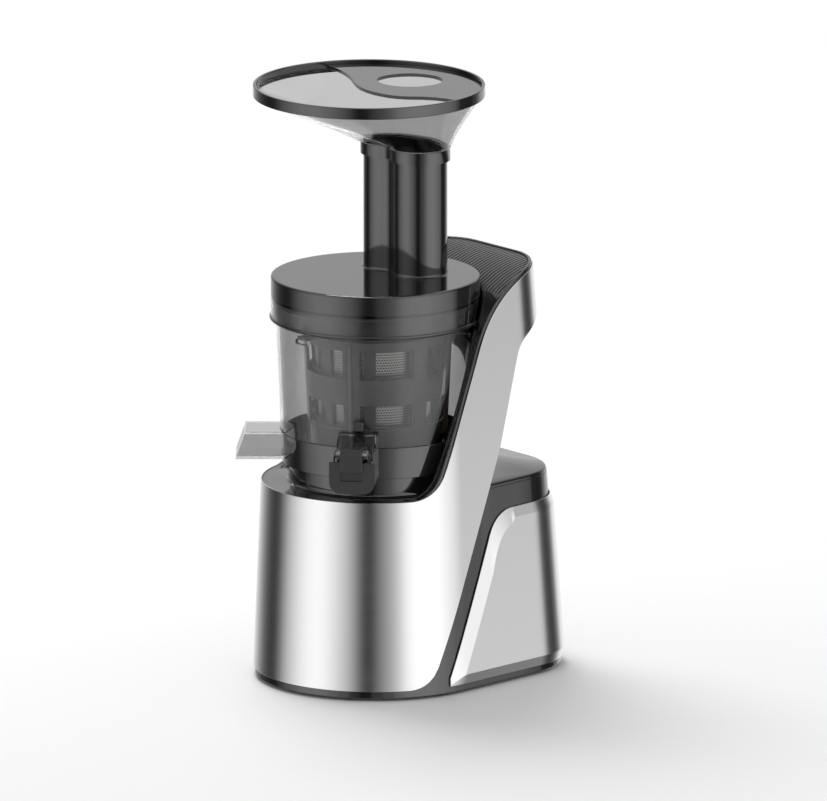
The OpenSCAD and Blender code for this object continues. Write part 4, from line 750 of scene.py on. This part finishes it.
class JUICER_OT_body(bpy.types.Operator):
    """Moulded body, cradle, rear cover and ribbed cap"""

    bl_idname = "juicer.body"
    bl_label = "Moulded body"

    def execute(self, context):
        t = trim()
        dressed("main_housing", "glossy black", t.moulded_round, "body_moulding", 3, sharp=25)
        dressed("cradle_liner", "glossy black", t.clear_round, "cradle_wall")
        dressed("rear_top_cover", "glossy black", 0, "rear_cover", sharp=40)
        dressed("column_rib_cap", "ribbed black", t.small_round, "ribbed_cap", 1, sharp=25)
        dressed("rubber_feet", "rubber", t.moulded_round, "feet")
        dressed("base_plate", "matt black", t.small_round, "underside")
        return {"FINISHED"}


class JUICER_OT_rear_fittings(bpy.types.Operator):
    """Switch and cord gland on the rear wall"""

    bl_idname = "juicer.rear_fittings"
    bl_label = "Rear fittings"

    def execute(self, context):
        t = trim()
        dressed("switch_bezel", "matt black", t.moulded_round, "switch_frame", 3)
        dressed("rocker_switch", "glossy black", t.small_round, "switch_rocker", 3)
        dressed("cord_gland", "matt black", t.small_round, "gland", 3)
        return {"FINISHED"}


class JUICER_OT_bowl(bpy.types.Operator):
    """Clear bowl with its dark base, spout and chute"""

    bl_idname = "juicer.bowl"
    bl_label = "Bowl"

    def execute(self, context):
        t = trim()
        dressed("juicing_bowl", "clear bowl", t.clear_round, "bowl_wall", 3)
        dressed("bowl_base", "glossy black", t.clear_round, "bowl_foot", 3)
        dressed("juice_spout", "clear bowl", t.clear_round, "spout", 3)
        dressed("pulp_chute", "clear bowl", t.clear_round, "chute", 3)
        dressed("juice_cap", "matt black", t.clear_round, "drip_cap", 3)
        dressed("spout_catch", "glossy black", t.clear_round, "catch", 3)
        return {"FINISHED"}


class JUICER_OT_strainer(bpy.types.Operator):
    """Strainer, brush cage and auger inside the bowl"""

    bl_idname = "juicer.strainer"
    bl_label = "Strainer set"

    def execute(self, context):
        t = trim()
        dressed("strainer_frame", "cage grey", t.cage_round, "strainer_cage", 2)
        dressed("brush_frame", "cage grey", t.cage_round, "brush_cage", 2)
        dressed("auger", "cage grey", 0, "auger_body", sharp=40)
        dressed("brush_wipers", "silicone", t.small_round, "wipers", 1)
        sheet = merged("strainer_mesh")
        place(sheet, "strainer_sheet", "bowl", "punched steel", ("strainer_mesh",))
        return {"FINISHED"}


SAME_HEIGHT = 1e-5  # heights that differ by less are one level
UPRIGHT = 0.1  # a face whose normal rises by less than this is an upright wall


def carries_wall(edge, height):
    """Whether an edge at this height is the foot of an upright wall."""
    level = all(abs(v.co.z - height) < SAME_HEIGHT for v in edge.verts)
    walls = [f for f in edge.link_faces if abs(f.normal.z) < UPRIGHT]
    return level and any(f.calc_center_median().z > height for f in walls)


class JUICER_OT_lid(bpy.types.Operator):
    """Lid with its feed tube, a black top over a smoky skirt, and the round lip of the skirt"""

    bl_idname = "juicer.lid"
    bl_label = "Lid and feed tube"

    def execute(self, context):
        t = trim()
        bm = merged("lid")
        cut_at(bm, t.skirt_line)
        cut_at(bm, t.skirt_bead)
        for face in bm.faces:
            face.material_index = 1 if t.skirt_bead < face.calc_center_median().z < t.skirt_line else 0
        foot = [e for e in bm.edges if carries_wall(e, t.tube_foot)]
        bmesh.ops.bevel(
            bm, geom=foot, offset=t.tube_fillet, segments=t.fillet_steps, profile=0.5, affect="EDGES",
            material=-1)
        finishes = ("glossy black", "smoky clear")
        piece = place(bm, "lid_and_tube", "lid", finishes, ("lid",))
        rounding(piece, t.clear_round * 2, 3)
        piece.modifiers.new("Flat faces", "WEIGHTED_NORMAL").keep_sharp = True

        bm = bmesh.new()
        made = bmesh.ops.create_circle(bm, segments=t.lip_sides, radius=t.lip_round)
        bmesh.ops.transform(bm, matrix=Matrix.Rotation(math.pi / 2, 4, "X"), verts=made["verts"])
        bmesh.ops.translate(bm, vec=(t.lip_radius, 0, t.lip_height), verts=made["verts"])
        bmesh.ops.spin(
            bm, geom=bm.verts[:] + bm.edges[:], cent=(0, 0, 0), axis=(0, 0, 1),
            angle=2 * math.pi, steps=t.lip_turns, use_merge=True)
        bmesh.ops.recalc_face_normals(bm, faces=bm.faces)
        place(bm, "lid_lip", "lid", "glossy black")
        return {"FINISHED"}


def reach(lines, start, angle):
    """How far a ray runs from start to the outermost of some lines."""
    way = Vector((math.cos(angle), math.sin(angle)))
    longest = 0.0
    for a, b in lines:
        cross = (b - a).cross(way)
        share = -(a - start).cross(way) / cross if abs(cross) > CLOSE * CLOSE else -1
        if -CLOSE <= share <= 1 + CLOSE:
            longest = max(longest, (a.lerp(b, share) - start).dot(way))
    return longest


def funnel_sheet(neck):
    """Outer face of the funnel, from the neck's outline to the rim's circle and upright behind it."""
    t = trim()
    low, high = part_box("hopper")
    rim_foot, round_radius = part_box("hopper_rim")[0][2], (high[0] - low[0]) / 2
    neck_middle, round_middle = Vector((0, t.tube_place)), Vector((0, (low[1] + high[1]) / 2))
    turns, rings = t.funnel_turns, t.funnel_rings
    reaches = [reach(neck, neck_middle, 2 * math.pi * i / turns) for i in range(turns + 1)]
    bm = bmesh.new()
    bmesh.ops.create_grid(bm, x_segments=turns, y_segments=rings + 1, size=1)
    for vert in bm.verts:
        i, j = round((vert.co.x + 1) / 2 * turns), round((vert.co.y + 1) / 2 * (rings + 1))
        share, angle = min(1, j / rings), 2 * math.pi * i / turns
        far = mix(reaches[i], round_radius, share)
        point = neck_middle.lerp(round_middle, share) + Vector((math.cos(angle), math.sin(angle))) * far
        vert.co = (*point, high[2] if j > rings else mix(t.neck_line, rim_foot, share))
    face_outwards(bm, round_middle)
    return bm


class JUICER_OT_hopper(bpy.types.Operator):
    """Hopper with its rim and half cover"""

    bl_idname = "juicer.hopper"
    bl_label = "Hopper"

    def execute(self, context):
        t = trim()
        bm = merged("hopper")
        cut_at(bm, t.neck_line, keep_above=False)
        rims = [e for e in bm.edges if e.is_boundary]
        neck = [(e.verts[0].co.xy, e.verts[1].co.xy) for e in rims]
        bmesh.ops.bridge_loops(bm, edges=rims)
        bmesh.ops.recalc_face_normals(bm, faces=bm.faces)
        place(bm, "funnel_neck", "hopper", "glossy black", ("hopper",), sharp=38)

        wall = place(funnel_sheet(neck), "funnel", "hopper", "clear hopper", sharp=80)
        thick = wall.modifiers.new("Wall", "SOLIDIFY")
        thick.thickness, thick.offset = t.funnel_wall, -1
        dressed("hopper_rim", "glossy black", t.moulded_round, "funnel_rim", 3)
        dressed("hopper_cover", "glossy black", t.clear_round, "half_cover", 3)
        return {"FINISHED"}


# Solids of the inner works under the finish that they get
INNER_FINISHES = {
    "turned steel": (
        "base_screws", "motor_can", "motor_bearings", "gearbox_screws", "gear_pins", "output_bearing",
        "motor_shaft", "drive_shaft", "idler_pin", "cap_hinge_pin", "lid_magnet"),
    "laminations": ("motor_stator", "rotor_core"),
    "winding copper": ("motor_windings",),
    "cast alloy": ("gearbox_tray", "gearbox_cover"),
    "gear nylon": ("first_gear", "second_gear", "output_gear", "brush_idler"),
    "rubber": ("motor_damper", "shaft_seal"),
    "silicone": ("bowl_seal", "pulp_plug", "cap_seal", "lid_seal", "auger_bush"),
    "matt black": ("lid_sensor", "cooling_fan"),
    "circuit board": ("control_board",),
    "sleeve blue": ("capacitor",),
}


class JUICER_OT_works(bpy.types.Operator):
    """Finishes of the motor, the gears and the other inner parts"""

    bl_idname = "juicer.works"
    bl_label = "Inner works"

    def execute(self, context):
        for finish, nodes in INNER_FINISHES.items():
            for node in nodes:
                mesh = frame["nodes"][node].data
                mesh.materials.clear()
                mesh.materials.append(material(finish))
        return {"FINISHED"}


# Studio


def floor_material():
    """Pale floor that turns into the white surroundings away from the object."""
    made = bpy.data.materials.new("studio floor")
    made.use_nodes = True
    tree = made.node_tree
    tree.nodes.clear()
    base = put(tree, "ShaderNodeBsdfDiffuse")
    base.inputs["Color"].default_value = (*colours().floor, 1)
    glow = put(tree, "ShaderNodeEmission", Strength=1.0)
    coordinates = tree.nodes.new("ShaderNodeTexCoord")
    far = put(tree, "ShaderNodeVectorMath", operation="LENGTH")
    tree.links.new(coordinates.outputs["Object"], far.inputs[0])
    fade = spread(tree, far.outputs["Value"], 0.0, 1.0, (studio().fade_from, studio().fade_to))
    path = tree.nodes.new("ShaderNodeLightPath")
    bent = maths(tree, "MAXIMUM", path.outputs["Is Glossy Ray"], path.outputs["Is Transmission Ray"])
    seen = maths(tree, "MAXIMUM", path.outputs["Is Camera Ray"], bent)
    both = put(tree, "ShaderNodeMixShader")
    tree.links.new(maths(tree, "MULTIPLY", seen, fade), both.inputs[0])
    tree.links.new(base.outputs[0], both.inputs[1])
    tree.links.new(glow.outputs[0], both.inputs[2])
    end = tree.nodes.new("ShaderNodeOutputMaterial")
    tree.links.new(both.outputs[0], end.inputs[0])
    return made


# Upright screens round the object: a heading in degrees from +X towards +Y, and how light they are there
SCREENS = (
    (-180, 0.24), (-171, 0.1), (-160, 0.03), (-150, 0.04), (-142, 0.24), (-134, 0.52), (-124, 0.78),
    (-110, 1.08), (-96, 1.16), (-86, 1.02), (-76, 0.78), (-67, 0.56), (-60, 0.33), (-54, 0.09),
    (-49, 0.01), (-43, 0.03), (-36, 0.22), (-27, 0.38), (-19, 0.6), (-10, 1.05), (0, 1.25),
    (18, 1.3), (30, 1.12), (46, 0.86), (55, 0.62), (64, 0.06), (82, 0.03), (94, 0.2),
    (106, 0.85), (124, 1.0), (150, 0.95), (180, 0.24),
)

# Rise of a mirrored ray, as a share of its length: where the ground gives way to the screens, where the
# screens turn a little darker above the horizon, and where the ceiling takes over
GROUND_ZONE, HORIZON_ZONE, CEILING_ZONE = (-0.62, -0.36), (-0.05, 0.12), (0.5, 0.8)


def world():
    """White surroundings, with upright screens between light and dark that only reflections show."""
    s = studio()
    sky = bpy.data.worlds.new("studio")
    bpy.context.scene.world = sky
    sky.use_nodes = True
    tree = sky.node_tree
    tree.nodes.clear()
    way = tree.nodes.new("ShaderNodeTexCoord")
    split = tree.nodes.new("ShaderNodeSeparateXYZ")
    tree.links.new(way.outputs["Generated"], split.inputs[0])
    heading = maths(tree, "ARCTAN2", split.outputs["Y"], split.outputs["X"])
    round_share = maths(tree, "ADD", maths(tree, "DIVIDE", heading, 2 * math.pi), 0.5)
    ramp = tree.nodes.new("ShaderNodeValToRGB")
    stops = ramp.color_ramp.elements
    while len(stops) < len(SCREENS):
        stops.new(0.5)
    for stop, (angle, light) in zip(stops, SCREENS):
        stop.position, stop.color = (angle + 180) / 360, (light, light, light, 1)
    tree.links.new(round_share, ramp.inputs[0])
    screens = tree.nodes.new("ShaderNodeSeparateColor")
    tree.links.new(ramp.outputs["Color"], screens.inputs[0])

    rise = split.outputs["Z"]
    side = spread(tree, rise, screens.outputs["Red"], s.ceiling, CEILING_ZONE)
    levels = maths(tree, "MULTIPLY", spread(tree, rise, s.ground, 1.0, GROUND_ZONE),
                   spread(tree, rise, 1.0, s.upper, HORIZON_ZONE))
    seen = maths(tree, "MULTIPLY", side, levels)
    path = tree.nodes.new("ShaderNodeLightPath")
    through = path.outputs["Is Transmission Ray"]
    plain = maths(tree, "MAXIMUM", path.outputs["Is Camera Ray"], through)
    outside = maths(tree, "SUBTRACT", 1.0, through)
    mirrored = maths(tree, "MULTIPLY", path.outputs["Is Glossy Ray"], outside)
    strength = choose(tree, mirrored, choose(tree, plain, s.sky, 1.0), seen)

    light = put(tree, "ShaderNodeBackground")
    tree.links.new(strength, light.inputs["Strength"])
    light.inputs["Color"].default_value = (1, 1, 1, 1)
    end = tree.nodes.new("ShaderNodeOutputWorld")
    tree.links.new(light.outputs[0], end.inputs[0])


SENSOR = 36  # width of the camera's frame in millimetres


def direction(heading, height):
    """Unit vector at a heading from +X towards +Y and a height above the horizon."""
    level = math.cos(height)
    return Vector((math.cos(heading) * level, math.sin(heading) * level, math.sin(height)))


class JUICER_OT_stage(bpy.types.Operator):
    """Floor, surroundings, lamp and camera"""

    bl_idname = "juicer.stage"
    bl_label = "Studio"

    def execute(self, context):
        s = studio()
        bm = bmesh.new()
        bmesh.ops.create_grid(bm, x_segments=1, y_segments=1, size=s.floor_half)
        mesh = bpy.data.meshes.new("floor")
        bm.to_mesh(mesh)
        bm.free()
        floor = bpy.data.objects.new("floor", mesh)
        mesh.materials.append(floor_material())
        context.scene.collection.objects.link(floor)
        floor.visible_glossy = False
        world()

        lamp = bpy.data.lights.new("key", "AREA")
        lamp.shape, lamp.size, lamp.energy = "DISK", s.key_size, s.key
        key = bpy.data.objects.new("key", lamp)
        out = direction(s.key_heading, s.key_height)
        key.location = Vector((0, 0, s.key_target)) + out * s.key_distance
        key.rotation_mode = "QUATERNION"
        key.rotation_quaternion = (-out).to_track_quat("-Z", "Y")
        key.visible_glossy = False
        context.scene.collection.objects.link(key)

        back, right = direction(s.azimuth - math.pi / 2, s.elevation), direction(s.azimuth, 0)
        aim = Vector((0, 0, sizes().deck)) + right * s.aim_right + back.cross(right) * s.aim_up
        camera = bpy.data.cameras.new("camera")
        camera.lens, camera.sensor_width = s.lens, SENSOR
        camera.clip_start, camera.clip_end = s.distance / 200, s.distance * 10
        eye = bpy.data.objects.new("camera", camera)
        turned = back.to_track_quat("Z", "Y").to_matrix().to_4x4()
        eye.matrix_world = Matrix.Translation(aim + back * s.distance) @ turned
        context.scene.collection.objects.link(eye)
        context.scene.camera = eye
        context.scene.view_settings.view_transform = "Standard"
        return {"FINISHED"}


OPERATORS = (
    JUICER_OT_front_skin, JUICER_OT_rear_panel, JUICER_OT_body, JUICER_OT_rear_fittings, JUICER_OT_bowl,
    JUICER_OT_strainer, JUICER_OT_lid, JUICER_OT_hopper, JUICER_OT_works, JUICER_OT_stage,
)


class JUICER_PT_panel(bpy.types.Panel):
    """The juicer's sizes, colours and pieces"""

    bl_idname = "JUICER_PT_panel"
    bl_label = "Juicer"
    bl_space_type = "VIEW_3D"
    bl_region_type = "UI"
    bl_category = "Juicer"

    def draw(self, context):
        for key in SETTINGS:
            box = self.layout.box()
            for name in getattr(context.scene, key).bl_rna.properties.keys():
                if name not in ("rna_type", "name"):
                    box.prop(getattr(context.scene, key), name)
        for operator in OPERATORS:
            self.layout.operator(operator.bl_idname)


SETTINGS = {
    "juicer_skins": JuicerSkinSizes, "juicer_trim": JuicerTrimSizes,
    "juicer_colours": JuicerColours, "juicer_studio": JuicerStudio,
}


def register():
    """Makes the classes and the scene's settings known to Blender."""
    for made in (*SETTINGS.values(), *OPERATORS, JUICER_PT_panel):
        bpy.utils.register_class(made)
    for key, made in SETTINGS.items():
        setattr(bpy.types.Scene, key, PointerProperty(type=made))


def unregister():
    """Takes them out again."""
    for key in SETTINGS:
        delattr(bpy.types.Scene, key)
    for made in reversed((*SETTINGS.values(), *OPERATORS, JUICER_PT_panel)):
        bpy.utils.unregister_class(made)


def main():
    """Makes every piece and the studio."""
    register()
    for operator in OPERATORS:
        family, name = operator.bl_idname.split(".")
        getattr(getattr(bpy.ops, family), name)()


if __name__ == "__main__":
    main()
